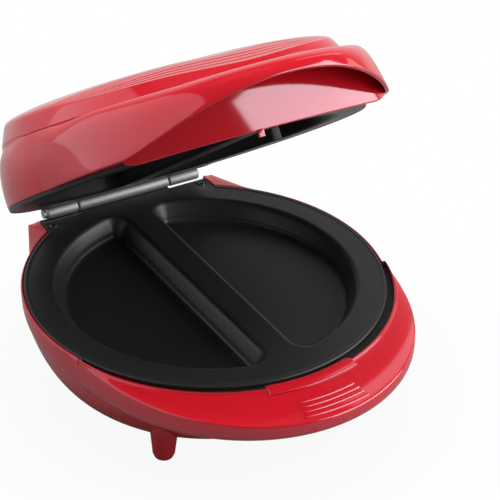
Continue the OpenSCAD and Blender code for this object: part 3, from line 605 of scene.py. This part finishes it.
def lid_angles():
    right = [k * 0.5 for k in range(0, 83)] + [41.6, 41.95, 42.1, 42.5]
    right += [43 + 0.75 * k for k in range(50)] + [81 + 2 * k for k in range(32)]
    right += [LID_NOTCH_A - 0.5, LID_NOTCH_A - 0.05, LID_NOTCH_A, LID_NOTCH_A + 0.5]
    right += [148 + 2.5 * k for k in range(13)]
    right = sorted(set(round(a, 4) for a in right))
    keep = [a for i, a in enumerate(right) if i == 0 or a - right[i - 1] > 0.03]
    return [-a for a in reversed(keep[1:])] + keep + ([180.0] if keep[-1] < 179.9 else [])


def dome_piece(name, angles, section, place, top_z, under_z, body, sharp):
    """Like ring_piece, but both sides close on a point of the axis."""
    rows = [section(a) for a in angles]
    n, m = len(rows), len(rows[0])
    points = swept_points(angles, rows, place) + [place(0, 0, top_z), place(0, 0, under_z)]
    faces = grid_faces(n, m, True, False)
    for i in range(n):
        k = (i + 1) % n
        faces.append((n * m, i * m, k * m))
        faces.append((n * m + 1, k * m + m - 1, i * m + m - 1))
    return new_piece(name, points, faces, body, sharp)


lid_shell = dome_piece(
    "Lid_shell", lid_angles(), lid_section, lid_point,
    dome_z(0, 0), dome_z(0, 0) - DOME_T, "lid", 85)
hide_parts("lid_shell")
print("lid shell has", len(lid_shell.data.polygons), "faces")

# %% [markdown]
# The lid's front panel and tab
#
# Behind the peak's arch lies a recessed wall, set back so that fingertips can reach up. It
# sweeps in a flatter curve than the plate and leans forward a little. A small tab left of its
# middle hangs over the plate's edge when the lid is shut.

# %% Front panel and tab
PANEL_SWEEP, PANEL_Y, PANEL_LEAN, PANEL_T, PANEL_END = 179.0, 113.0, 1.6, 2.2, 41.45


def panel_r(a):
    y = PANEL_SWEEP - PANEL_Y
    s, c = math.sin(math.radians(a)), math.cos(math.radians(a))
    return math.sqrt(PANEL_SWEEP ** 2 - (y * s) ** 2) - y * c


def under_peak_z(a, r):
    """Height of the peak's underside above radius r."""
    line = side_curve(a, 80, True)
    inside = [z for q, z in line if q <= r]
    return inside[-1]


def panel_low_z(a):
    t = max(0.0, (abs(a) - 37) / 4.5)
    return 3.8 + 3.3 * (1 - math.sqrt(max(0.0, 1 - t * t)))


def panel_section(a):
    r, low = panel_r(a), panel_low_z(a)
    lean = PANEL_LEAN * ease((41.4 - abs(a)) / 8)
    top = max(under_peak_z(a, r + lean) - 0.9, low + 2.5)
    return rounded([
        (r - PANEL_T, low, 0.4), (r - 0.5 * lean, low, 0.7),
        (r + 0.25 * lean, mix(low, top, 0.5), 0), (r + lean, top, 0.3), (r - PANEL_T, top, 0.3),
        (r - PANEL_T, 9.2, 0), (105.8, 9.2, 0), (105.8, 7.4, 0), (r - PANEL_T, 7.4, 0),
    ], 3)


panel_turns = [0.5 - 0.5 * math.cos(math.pi * k / 90) for k in range(91)]
panel_angles = [mix(-PANEL_END, PANEL_END, t) for t in panel_turns]
lid_front_panel = arc_piece(
    "Lid_front_panel", panel_angles, panel_section, lid_point, "lid")
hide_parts("lid_front_panel")


def soft_block(name, low, high, place, body, radius=0.5, sharp=50):
    """A block with all its edges rounded."""
    bm = bmesh.new()
    bmesh.ops.create_cube(bm, size=1)
    for v in bm.verts:
        v.co = Vector([mix(l, h, c + 0.5) for l, h, c in zip(low, high, v.co)])
    bmesh.ops.bevel(
        bm, geom=bm.edges[:] + bm.verts[:], offset=radius, segments=3, profile=0.5, affect="EDGES")
    for v in bm.verts:
        v.co = place(*v.co)
    return built_piece(name, bm, body, sharp)


latch_tab = soft_block(
    "Lid_latch_tab", (-11.3, -112.3, 0.3), (-7.7, -110.7, 4.5),
    lid_point, "lid", 0.15, 20)
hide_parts("lid_latch_tab")
print("front panel and tab made")

# %% [markdown]
# The cooking plates
#
# Each plate is an aluminium casting with a non-stick coat. A coat rounds every edge, so a
# plate shows as soft highlights round its pans and a bright rolled lip. The plate is built
# as a stack of outlines. The flat areas between outlines are filled with triangles, which
# don't show because they are flat.

# %% Plate outlines
FLANGE_HALF, FLANGE_BACK, FLANGE_T = 59.0, 101.2, 3.5
PAN_R, BRIDGE_W, PAN_DEPTH, PAN_CORNER, PAN_WALL = 90.0, 19.0, 13.0, 10.0, 3.0
FACE_Z = -0.32  # the face lies a little below the top of its rolled lip
FLANGE_SHARE = 0.2  # the lip is this much narrower along the hinge flange
SCREW_X, SCREW_Y = 53.0, 96.6


def plate_outline(inset):
    """The rim and its straight-sided hinge flange, drawn in by inset, counter-clockwise."""
    low = FLANGE_SHARE * inset
    r, half, back = PLATE_R - inset, FLANGE_HALF - low, FLANGE_BACK - low
    start = math.degrees(math.asin(half / r))
    points = []
    count = 150
    for i in range(count + 1):
        a = math.radians(mix(90 + start, 450 - start, i / count))
        points.append((r * math.cos(a), r * math.sin(a)))
    corner = 3.0 - low
    for k in range(7):
        t = math.radians(15 * k)
        points.append((half - corner + corner * math.cos(t), back - corner + corner * math.sin(t)))
    for k in range(7):
        t = math.radians(90 + 15 * k)
        points.append((-half + corner + corner * math.cos(t), back - corner + corner * math.sin(t)))
    return points


def pan_outline(inset, side):
    """One half-round pan, drawn in by inset."""
    cx = BRIDGE_W / 2 + PAN_CORNER
    cy = math.sqrt((PAN_R - PAN_CORNER) ** 2 - cx ** 2)
    turn = math.degrees(math.atan2(cy, cx))
    corner = PAN_CORNER - inset
    points = []
    for i in range(73):
        t = math.radians(mix(-turn, turn, i / 72))
        points.append(((PAN_R - inset) * math.cos(t), (PAN_R - inset) * math.sin(t)))
    for i in range(1, 13):
        t = math.radians(mix(turn, 180, i / 12))
        points.append((cx + corner * math.cos(t), cy + corner * math.sin(t)))
    for i in range(12):
        t = math.radians(mix(180, 360 - turn, i / 12))
        points.append((cx + corner * math.cos(t), -cy + corner * math.sin(t)))
    return [(side * x, y) for x, y in points]


print("plate outline has", len(plate_outline(0)), "points")


# %% Plate builder
def bridge(bm, loops):
    """Faces between each closed loop of vertices and the next."""
    for a, b in zip(loops, loops[1:]):
        n = len(a)
        for i in range(n):
            k = (i + 1) % n
            bm.faces.new((a[i], a[k], b[k], b[i]))


def fill(bm, loops):
    """Triangles over the flat area between closed loops of vertices."""
    edges = []
    for loop in loops:
        for i, v in enumerate(loop):
            ends = (v, loop[(i + 1) % len(loop)])
            edges.append(bm.edges.get(ends) or bm.edges.new(ends))
    bmesh.ops.triangle_fill(bm, use_beauty=True, use_dissolve=False, edges=edges)


def quarter(n, d0, d1, z0, z1):
    """Points of a quarter round from (d0, z0) to (d1, z1)."""
    turns = [math.radians(90 * k / n) for k in range(1, n + 1)]
    return [(mix(d0, d1, 1 - math.cos(t)), mix(z0, z1, math.sin(t))) for t in turns]


def plate_piece(name, place, flip, body):
    """Top face up at zero. flip turns it over for the lid, with a rebate for the lid's rim."""
    bm = bmesh.new()
    sign = -1 if flip else 1
    lift = PLATE_GAP if flip else 0.0

    def loop(outline, z):
        return [bm.verts.new(place(x, y, lift + sign * z)) for x, y in outline]

    # Outer edge: a low rolled lip, then down the side to the underside
    edge = [(4.2, FACE_Z), (3.6, FACE_Z), (2.9, -0.3), (2.5, -0.2), (2.1, -0.04), (1.7, 0.0)]
    edge += [(1.2, -0.02), (0.75, -0.16), (0.32, -0.45), (0.06, -0.9), (0.0, -1.4)]
    if flip:
        edge += [(0.0, -2.2), (2.6, -2.2), (2.6, -FLANGE_T), (3.4, -FLANGE_T)]
    else:
        edge += [(0.0, -2.9), (0.5, -FLANGE_T), (1.4, -FLANGE_T)]
    rings = [loop(plate_outline(d), z) for d, z in edge]
    bridge(bm, rings)
    # Pans, inside and outside
    tops, unders = [], []
    for side in (-1, 1):
        path = [(-3.0, FACE_Z), (-2.2, FACE_Z), (-1.5, -0.42), (-0.8, -0.72), (-0.1, -1.2)]
        path += [(0.5, -1.85), (1.0, -2.6), (2.1, -4.6), (3.7, -7.6), (4.8, -9.6)]
        path += quarter(6, 4.8, 8.8, -9.6, -PAN_DEPTH)
        inner = [loop(pan_outline(d, side), z) for d, z in path]
        bridge(bm, inner)
        fill(bm, [inner[-1]])
        outer_path = [(-0.4, -FLANGE_T), (0.6, -4.6), (2.6, -12.6), (5.6, -PAN_DEPTH - PAN_WALL)]
        outer = [loop(pan_outline(d - PAN_WALL, side), z) for d, z in outer_path]
        bridge(bm, outer)
        fill(bm, [outer[-1]])
        tops.append(inner[0])
        unders.append(outer[0])
    # Pockets for the two rear screws
    pockets = []
    for side in (-1, 1):
        wall = []
        turns = [2 * math.pi * k / 40 for k in range(40)]
        for r, z in ((3.6, FACE_Z), (3.42, -0.36), (3.3, -0.6), (3.3, -1.95), (1.5, -1.95)):
            circle = [(side * SCREW_X + r * math.cos(t), SCREW_Y + r * math.sin(t)) for t in turns]
            wall.append(loop(circle, z))
        bridge(bm, wall)
        pockets.append(wall[0])
    fill(bm, [rings[0]] + tops + pockets)
    fill(bm, [rings[-1]] + unders)
    return built_piece(name, bm, body, 35)


lower_plate = plate_piece("Lower_plate", base_point, False, "base")
upper_plate = plate_piece("Upper_plate", lid_point, True, "lid")
print("plates have", len(lower_plate.data.polygons), "and", len(upper_plate.data.polygons), "faces")

# %% [markdown]
# The spacer leg
#
# A short leg at the front of the upper plate drops into the recess behind the base's rim when
# the lid is shut. It keeps the plates apart, so the eggs have room.

# %% Spacer leg
spacer_leg = soft_block(
    "Upper_plate_spacer_leg", (-2.5, -110.3, -3.1), (2.5, -108.4, 7.1),
    lid_point, "lid")
spacer_arm = soft_block(
    "Upper_plate_spacer_arm", (-2.4, -109.5, 5.2), (2.4, -106.5, 7.1),
    lid_point, "lid", 0.3)
print("spacer leg made")

# %% [markdown]
# The hinge
#
# The barrel is cast with the plates: the middle knuckle belongs to the lower plate, the two
# outer ones to the upper plate, and a steel pin runs through all three. The knuckles are bare
# and satin, each a turned piece with soft ends. Webs tie them to their plates. Under the left
# knuckle the lower plate also has a low sill, so that no light shows through there.

# %% Hinge knuckles
BARREL_R, BORE_R, BARREL_HALF, MIDDLE_HALF, KNUCKLE_GAP = 4.0, 1.8, 54.5, 32.0, 0.8


def along_x(place, x0):
    return lambda u, v, h: place(x0 + h, HINGE_Y + u, HINGE_Z + v)


def knuckle(name, x0, x1, place, body, soft=(0.8, 0.8)):
    """A turned knuckle. soft tells how far its two ends are rounded."""
    length = x1 - x0
    # An end that is rounded far is closed as well
    closed_end = [(0.05, -0.5), (1.2, -0.45), (BORE_R, -0.25)]
    profile = closed_end if soft[0] > 1 else [(BORE_R, 0.0)]
    turns = [math.radians(18 * k) for k in range(6)]
    arc = [(1 - math.sin(t), 1 - math.cos(t)) for t in turns]
    profile += [(BARREL_R - soft[0] * u, soft[0] * v) for u, v in arc]
    profile += [(BARREL_R - soft[1] * u, length - soft[1] * v) for u, v in reversed(arc)]
    profile += [(BORE_R, length)]
    count = 48
    points = []
    for i in range(count):
        a = 2 * math.pi * i / count
        for r, h in profile:
            points.append(along_x(place, x0)(r * math.cos(a), r * math.sin(a), h))
    faces = grid_faces(count, len(profile), True, True)
    return new_piece(name, points, faces, body, 40)


outer_start = MIDDLE_HALF + KNUCKLE_GAP
middle_knuckle = knuckle("Hinge_middle_knuckle", -MIDDLE_HALF, MIDDLE_HALF, base_point, "base")
left_knuckle = knuckle(
    "Hinge_left_knuckle", -BARREL_HALF, -outer_start, lid_point, "lid", (2.0, 0.8))
right_knuckle = knuckle(
    "Hinge_right_knuckle", outer_start, BARREL_HALF, lid_point, "lid", (0.8, 1.4))
left_sill = soft_block(
    "Lower_plate_left_sill", (-58.4, 100.4, -3.4), (-30.8, 106.4, -1.25),
    base_point, "base", 0.6)
lower_web = soft_block(
    "Lower_plate_hinge_web", (-31.9, 99.0, -3.4), (31.9, 106.4, -0.1),
    base_point, "base", 0.7)
upper_webs = [
    soft_block(
        "Upper_plate_hinge_web_" + side, low, high, lid_point, "lid", 0.7)
    for side, low, high in (
        ("left", (-54.4, 99.0, 5.05), (-32.9, 105.5, 6.95)),
        ("right", (32.9, 99.0, 5.05), (54.4, 105.5, 6.95)),
    )
]
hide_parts("lower_plate")
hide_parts("upper_plate")
print("hinge made")

# %% [markdown]
# Cross-head screws
#
# Four blackened pan-head screws hold the plates at the hinge. A cross recess is small, but
# the eye knows it, so it is cut into the head as geometry and not drawn on.


# %% Screws
def screw_piece(name, spots, shank, place, up, body):
    bm = bmesh.new()
    for x, y, z in spots:
        def ring(r, h, n=40):
            turns = [2 * math.pi * i / n for i in range(n)]
            circle = [(x + r * math.cos(t), y + r * math.sin(t)) for t in turns]
            return [bm.verts.new(place(u, v, z + up * h)) for u, v in circle]

        def cross(w, l, h):
            outline = [(l, -w), (l, w), (w, w), (w, l), (-w, l), (-w, w), (-l, w), (-l, -w),
                       (-w, -w), (-w, -l), (w, -l), (w, -w)]
            turned = [(0.9 * u - 0.43 * v, 0.43 * u + 0.9 * v) for u, v in outline]
            return [bm.verts.new(place(x + u, y + v, z + up * h)) for u, v in turned]

        profile = [(1.45, -shank), (1.45, 0.0), (2.8, 0.0), (3.0, 0.25), (3.0, 0.9)]
        profile += [(2.85, 1.3), (2.5, 1.6), (2.0, 1.78)]
        heads = [ring(r, h) for r, h in profile]
        bridge(bm, heads)
        bm.faces.new(heads[0])
        top = cross(0.42, 1.55, 1.8)
        low = cross(0.28, 1.1, 0.6)
        bridge(bm, [top, low])
        bm.faces.new(low)
        fill(bm, [heads[-1], top])
    return built_piece(name, bm, body, 35)


def screw_spots(z):
    """The two places of screws whose heads rest at height z."""
    return [(-SCREW_X, SCREW_Y, z), (SCREW_X, SCREW_Y, z)]


lower_screws = screw_piece("Lower_plate_screws", screw_spots(-1.85), 6.0, base_point, 1, "base")
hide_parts("lower_plate_screws")
upper_screws = screw_piece("Upper_plate_screws", screw_spots(6.85), 2.0, lid_point, -1, "lid")
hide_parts("upper_plate_screws")
print("screws made")

# %% [markdown]
# Effects that several finishes share
#
# Two node groups serve all materials. One gives the faint waviness and fine grain of a
# surface as a height. The other gives dust and handling as a mask that breaks up the gloss.


# %% Shared node groups
def socket_group(name, inputs, outputs):
    group = bpy.data.node_groups.new(name, "ShaderNodeTree")
    for label, kind, value in inputs:
        item = group.interface.new_socket(name=label, in_out="INPUT", socket_type=kind)
        item.default_value = value
    for label, kind in outputs:
        group.interface.new_socket(name=label, in_out="OUTPUT", socket_type=kind)
    start = group.nodes.new("NodeGroupInput")
    end = group.nodes.new("NodeGroupOutput")
    start.location, end.location = (-700, 0), (500, 0)
    return group, start, end


def add_node(tree, kind, **values):
    """A node with some inputs set. An underscore stands for a space in an input's name."""
    node = tree.nodes.new(kind)
    for label, value in values.items():
        node.inputs[label.replace("_", " ")].default_value = value
    return node


def add_group(tree, group, **values):
    """A node that runs a shared group."""
    node = tree.nodes.new("ShaderNodeGroup")
    node.node_tree = group
    for label, value in values.items():
        node.inputs[label.replace("_", " ")].default_value = value
    return node


def maths(tree, operation, first, second):
    """A math node. first and second are sockets or plain numbers."""
    node = tree.nodes.new("ShaderNodeMath")
    node.operation = operation
    for socket, value in zip(node.inputs, (first, second)):
        if isinstance(value, float):
            socket.default_value = value
        else:
            tree.links.new(value, socket)
    return node.outputs[0]


def smooth_range(tree, source, start, stop, low, high):
    """Turns start to stop into low to high along a soft S-curve."""
    node = add_node(
        tree, "ShaderNodeMapRange", From_Min=start, From_Max=stop, To_Min=low, To_Max=high)
    node.interpolation_type = "SMOOTHSTEP"
    tree.links.new(source, node.inputs["Value"])
    return node.outputs["Result"]


FLOAT = "NodeSocketFloat"

surface_height, g_in, g_out = socket_group(
    "Surface height",
    [("Wave Scale", FLOAT, 30.0), ("Wave Amount", FLOAT, 0.5),
     ("Grain Scale", FLOAT, 900.0), ("Grain Amount", FLOAT, 0.2)],
    [("Height", FLOAT)])
place_node = surface_height.nodes.new("ShaderNodeTexCoord")
wave = add_node(surface_height, "ShaderNodeTexNoise", Detail=1.0)
grain = add_node(surface_height, "ShaderNodeTexNoise", Detail=2.0)
link = surface_height.links.new
link(place_node.outputs["Object"], wave.inputs["Vector"])
link(place_node.outputs["Object"], grain.inputs["Vector"])
link(g_in.outputs["Wave Scale"], wave.inputs["Scale"])
link(g_in.outputs["Grain Scale"], grain.inputs["Scale"])
waves = maths(surface_height, "MULTIPLY", wave.outputs["Fac"], g_in.outputs["Wave Amount"])
grains = maths(surface_height, "MULTIPLY", grain.outputs["Fac"], g_in.outputs["Grain Amount"])
link(maths(surface_height, "ADD", waves, grains), g_out.inputs["Height"])

handling, h_in, h_out = socket_group(
    "Handling",
    [("Scale", FLOAT, 14.0), ("Low", FLOAT, 0.2), ("High", FLOAT, 0.3)],
    [("Roughness", FLOAT)])
h_place = handling.nodes.new("ShaderNodeTexCoord")
h_noise = add_node(handling, "ShaderNodeTexNoise", Detail=5.0, Roughness=0.6)
h_range = add_node(handling, "ShaderNodeMapRange", From_Min=0.3, From_Max=0.7)
link = handling.links.new
link(h_place.outputs["Object"], h_noise.inputs["Vector"])
link(h_in.outputs["Scale"], h_noise.inputs["Scale"])
link(h_noise.outputs["Fac"], h_range.inputs["Value"])
link(h_in.outputs["Low"], h_range.inputs["To Min"])
link(h_in.outputs["High"], h_range.inputs["To Max"])
link(h_range.outputs["Result"], h_out.inputs["Roughness"])
print("node groups:", surface_height.name, "and", handling.name)

# %% [markdown]
# Finishes
#
# Each finish is a Principled shader with its own grain and its own spread of roughness. The
# red shell is gloss plastic: a deep colour under a strong, faintly tinted reflection. The
# coated plates are near black with a soft sheen and a fine speckle.


# %% Material builder
def finish(name, color, color_b, low, high, metallic=0.0, wave=(30, 0.2), grain=(900, 0.2),
           bump_mm=0.05, specular=0.5, tint=(1, 1, 1), mottle=25.0):
    """A material. Colour and roughness each wander between two values."""
    material = bpy.data.materials.new(name)
    material.use_nodes = True
    tree = material.node_tree
    shader = tree.nodes["Principled BSDF"]
    shader.inputs["Metallic"].default_value = metallic
    shader.inputs["Specular IOR Level"].default_value = specular
    shader.inputs["Specular Tint"].default_value = (*tint, 1)
    place = tree.nodes.new("ShaderNodeTexCoord")
    noise = add_node(tree, "ShaderNodeTexNoise", Scale=mottle, Detail=4.0)
    ramp = tree.nodes.new("ShaderNodeMix")
    ramp.data_type = "RGBA"
    ramp.inputs[6].default_value = (*color, 1)
    ramp.inputs[7].default_value = (*color_b, 1)
    tree.links.new(place.outputs["Object"], noise.inputs["Vector"])
    tree.links.new(noise.outputs["Fac"], ramp.inputs[0])
    tree.links.new(ramp.outputs[2], shader.inputs["Base Color"])
    dust = add_group(tree, handling, Low=low, High=high)
    tree.links.new(dust.outputs["Roughness"], shader.inputs["Roughness"])
    height = add_group(
        tree, surface_height, Wave_Scale=wave[0], Wave_Amount=wave[1],
        Grain_Scale=grain[0], Grain_Amount=grain[1])
    relief = add_node(tree, "ShaderNodeBump", Strength=1.0, Distance=bump_mm / 1000)
    tree.links.new(height.outputs["Height"], relief.inputs["Height"])
    tree.links.new(relief.outputs["Normal"], shader.inputs["Normal"])
    return material


FINISHES = {
    "red_shell": finish(
        "Glossy red plastic", (0.46, 0.006, 0.014), (0.5, 0.008, 0.017), 0.07, 0.12, wave=(22, 0.4),
        grain=(700, 0.02), bump_mm=0.1, specular=1.0, tint=(1.0, 0.86, 0.97), mottle=9),
    "nonstick_black": finish(
        "Non-stick coat", (0.011, 0.011, 0.011), (0.019, 0.018, 0.018), 0.34, 0.42,
        wave=(40, 0.1), grain=(2600, 0.5), bump_mm=0.06, specular=0.45, mottle=2200),
    "screw_black": finish(
        "Blackened screw", (0.1, 0.1, 0.1), (0.16, 0.15, 0.15), 0.3, 0.42, metallic=1.0,
        grain=(1500, 0.3), bump_mm=0.03),
    "knuckle_alloy": finish(
        "Cast knuckle alloy", (0.42, 0.4, 0.4), (0.5, 0.48, 0.475), 0.54, 0.62, metallic=1.0,
        wave=(90, 0.3), grain=(1500, 0.5), bump_mm=0.04, mottle=200),
    "black_plastic": finish(
        "Black plastic", (0.012, 0.012, 0.012), (0.02, 0.02, 0.02), 0.5, 0.65, specular=0.3,
        grain=(1800, 0.6)),
    "cream_plastic": finish(
        "Cream ceramic plastic", (0.62, 0.58, 0.47), (0.7, 0.66, 0.55), 0.4, 0.55,
        grain=(1200, 0.5), bump_mm=0.04),
    "steel": finish(
        "Bare knuckle steel", (0.3, 0.3, 0.3), (0.38, 0.38, 0.38), 0.4, 0.5, metallic=1.0,
        wave=(60, 0.2), grain=(1500, 0.4), bump_mm=0.03, mottle=120),
    "tinplate": finish(
        "Tinplate", (0.55, 0.56, 0.57), (0.65, 0.66, 0.67), 0.3, 0.45, metallic=1.0),
    "shield_aluminium": finish(
        "Pressed aluminium", (0.68, 0.69, 0.7), (0.76, 0.77, 0.78), 0.28, 0.42,
        metallic=1.0, mottle=60),
    "fuse_brass": finish(
        "Fuse brass", (0.6, 0.42, 0.16), (0.7, 0.5, 0.22), 0.3, 0.4, metallic=1.0),
    "lead_sleeve": finish(
        "Woven glass sleeve", (0.66, 0.62, 0.52), (0.76, 0.73, 0.64), 0.7, 0.85,
        grain=(2500, 1.0), bump_mm=0.15, mottle=900),
}
print("finishes:", ", ".join(sorted(FINISHES)))

# %% Dress every piece
slots = {s["node"]: s["material_slot"] for s in frame["record"]["subparts"]}
for name, node in frame["nodes"].items():
    node.data.materials.clear()
    node.data.materials.append(FINISHES[slots[name]])
own_pieces = {
    "red_shell": [base_shell, front_strip, grip_ribs, lid_shell, lid_front_panel, latch_tab],
    "nonstick_black": [lower_plate, upper_plate, left_sill, lower_web, *upper_webs],
    # The black sheet in the recess is painted shade, dressed in the black plastic finish.
    "black_plastic": [spacer_leg, spacer_arm, recess_painted_shade],
    "knuckle_alloy": [middle_knuckle, left_knuckle, right_knuckle],
    "screw_black": [lower_screws, upper_screws],
}
for kind, pieces in own_pieces.items():
    for piece in pieces:
        piece.data.materials.append(FINISHES[kind])
print("dressed", len(slots), "nodes and", sum(map(len, own_pieces.values())), "own pieces")

# %% [markdown]
# Studio
#
# The object stands in a white studio. The floor is grey to the lamps and nearly white to the
# camera, so the object's shadow stays faint; further out it is plain white. Broad soft lamps
# give the red plastic its long highlights. They are kept at a level where a colour renders
# about as it is written.

# %% Floor
floor_mesh = bpy.data.meshes.new("Studio_floor")
S = 4.0
floor_mesh.from_pydata([(-S, -S, 0), (S, -S, 0), (S, S, 0), (-S, S, 0)], [], [(0, 1, 2, 3)])
floor = bpy.data.objects.new("Studio_floor", floor_mesh)
scene.collection.objects.link(floor)
floor_material = bpy.data.materials.new("Studio floor")
floor_material.use_nodes = True
tree = floor_material.node_tree
shader = tree.nodes["Principled BSDF"]
shader.inputs["Base Color"].default_value = (0.28, 0.28, 0.28, 1)
shader.inputs["Roughness"].default_value = 0.7
glow = add_node(tree, "ShaderNodeEmission", Color=(1, 1, 1, 1), Strength=1.0)
rays = tree.nodes.new("ShaderNodeLightPath")
spot = tree.nodes.new("ShaderNodeTexCoord")
far = tree.nodes.new("ShaderNodeVectorMath")
far.operation = "LENGTH"
apart = tree.nodes.new("ShaderNodeSeparateXYZ")
tree.links.new(spot.outputs["Object"], far.inputs[0])
tree.links.new(spot.outputs["Object"], apart.inputs["Vector"])
seen = maths(tree, "MAXIMUM", rays.outputs["Is Camera Ray"], rays.outputs["Is Transmission Ray"])
fade = smooth_range(tree, far.outputs["Value"], 0.06, 0.24, 0.93, 1.0)
share = maths(tree, "MULTIPLY", seen, fade)
# Behind the object the white sweep also shows in the gloss
rear = smooth_range(tree, apart.outputs["Y"], 0.15, 0.6, 0.0, 0.6)
mirrored = maths(tree, "MULTIPLY", rear, rays.outputs["Is Glossy Ray"])
most = maths(tree, "MAXIMUM", share, mirrored)
both = tree.nodes.new("ShaderNodeMixShader")
tree.links.new(most, both.inputs["Fac"])
tree.links.new(shader.outputs["BSDF"], both.inputs[1])
tree.links.new(glow.outputs["Emission"], both.inputs[2])
tree.links.new(both.outputs["Shader"], tree.nodes["Material Output"].inputs["Surface"])
floor_mesh.materials.append(floor_material)
print("floor is", 2 * S, "m wide")

# %% World
DIM_LEVEL = 0.09
world = bpy.data.worlds.new("Studio")
scene.world = world
world.use_nodes = True
tree = world.node_tree
sky = tree.nodes["Background"]
sky.inputs["Color"].default_value = (1.0, 1.0, 1.0, 1)
toward = tree.nodes.new("ShaderNodeTexCoord")
split = tree.nodes.new("ShaderNodeSeparateXYZ")
tree.links.new(toward.outputs["Generated"], split.inputs["Vector"])
# A paper sweep: bright behind and low, dim elsewhere
behind = smooth_range(tree, split.outputs["Y"], 0.1, 0.75, 0.0, 0.62)
low = smooth_range(tree, split.outputs["Z"], 0.25, 0.85, 1.0, 0.0)
level = maths(tree, "ADD", maths(tree, "MULTIPLY", behind, low), DIM_LEVEL)
tree.links.new(level, sky.inputs["Strength"])
white = add_node(tree, "ShaderNodeBackground", Color=(1, 1, 1, 1), Strength=1.0)
rays = tree.nodes.new("ShaderNodeLightPath")
either = maths(tree, "MAXIMUM", rays.outputs["Is Camera Ray"], rays.outputs["Is Transmission Ray"])
blend = tree.nodes.new("ShaderNodeMixShader")
tree.links.new(either, blend.inputs["Fac"])
tree.links.new(sky.outputs["Background"], blend.inputs[1])
tree.links.new(white.outputs["Background"], blend.inputs[2])
tree.links.new(blend.outputs["Shader"], tree.nodes["World Output"].inputs["Surface"])
print("world set")


# %% Lamps
LAMP_DISTANCE, AIM_Z = 1.3, 0.12


def softbox(name, where, width, height, watts):
    lamp = bpy.data.lights.new(name, "AREA")
    lamp.shape = "RECTANGLE"
    lamp.size, lamp.size_y = width, height
    lamp.energy = watts
    holder = bpy.data.objects.new(name, lamp)
    holder.location = where
    aim = Vector((0, 0, AIM_Z)) - Vector(where)
    holder.rotation_euler = aim.to_track_quat("-Z", "Y").to_euler()
    scene.collection.objects.link(holder)
    return holder


def around(azimuth, elevation):
    """A place round the object. Azimuth 0 is the front and 90 the right."""
    a, e = math.radians(azimuth), math.radians(elevation)
    flat = LAMP_DISTANCE * math.cos(e)
    return flat * math.sin(a), -flat * math.cos(a), AIM_Z + LAMP_DISTANCE * math.sin(e)


softbox("Key_softbox", around(50, 22), 1.4, 0.9, 20.5)
softbox("Side_softbox", around(91, 8), 0.5, 0.45, 0.9)
softbox("Left_softbox", around(-103, 28), 2.0, 1.6, 8)
softbox("Right_softbox", around(110, 38), 0.14, 0.8, 0.4)
overhead = softbox("Top_softbox", around(180, 84), 1.0, 0.8, 21)
# A flag keeps the overhead lamp out of the gloss, as a studio would
overhead.visible_glossy = False

# %% [markdown]
# Camera
#
# A product photograph like this is taken with a long lens from a little above. The values
# below were found by fitting the plate's round rim, the hinge and the shell's outline to
# the photograph: an azimuth, an elevation, a small roll and a distance.

# %% Camera
az, el, roll = math.radians(-32.764), math.radians(32.559), math.radians(2.302)
distance, focal_px = 1.04477, 1756.05
aside, aloft, sensor_mm, photo_px = 0.0262, 0.0160, 36.0, 500
back = Vector((math.sin(az) * math.cos(el), -math.cos(az) * math.cos(el), math.sin(el)))
right = Vector((math.cos(az), math.sin(az), 0))
up = back.cross(right)
right_r = right * math.cos(roll) + up * math.sin(roll)
up_r = up * math.cos(roll) - right * math.sin(roll)
eye = base_point(0, 0, 0) + right_r * aside + up_r * aloft + back * distance
camera_data = bpy.data.cameras.new("Studio_camera")
camera_data.sensor_width = sensor_mm
camera_data.lens = focal_px * sensor_mm / photo_px
camera_data.clip_start, camera_data.clip_end = 0.05, 20
camera = bpy.data.objects.new("Studio_camera", camera_data)
camera.matrix_world = Matrix((
    (right_r.x, up_r.x, back.x, eye.x),
    (right_r.y, up_r.y, back.y, eye.y),
    (right_r.z, up_r.z, back.z, eye.z),
    (0, 0, 0, 1),
))
scene.collection.objects.link(camera)
scene.camera = camera
scene.view_settings.view_transform = "Standard"
print("camera at", [round(v, 3) for v in eye], "lens", round(camera_data.lens, 1))
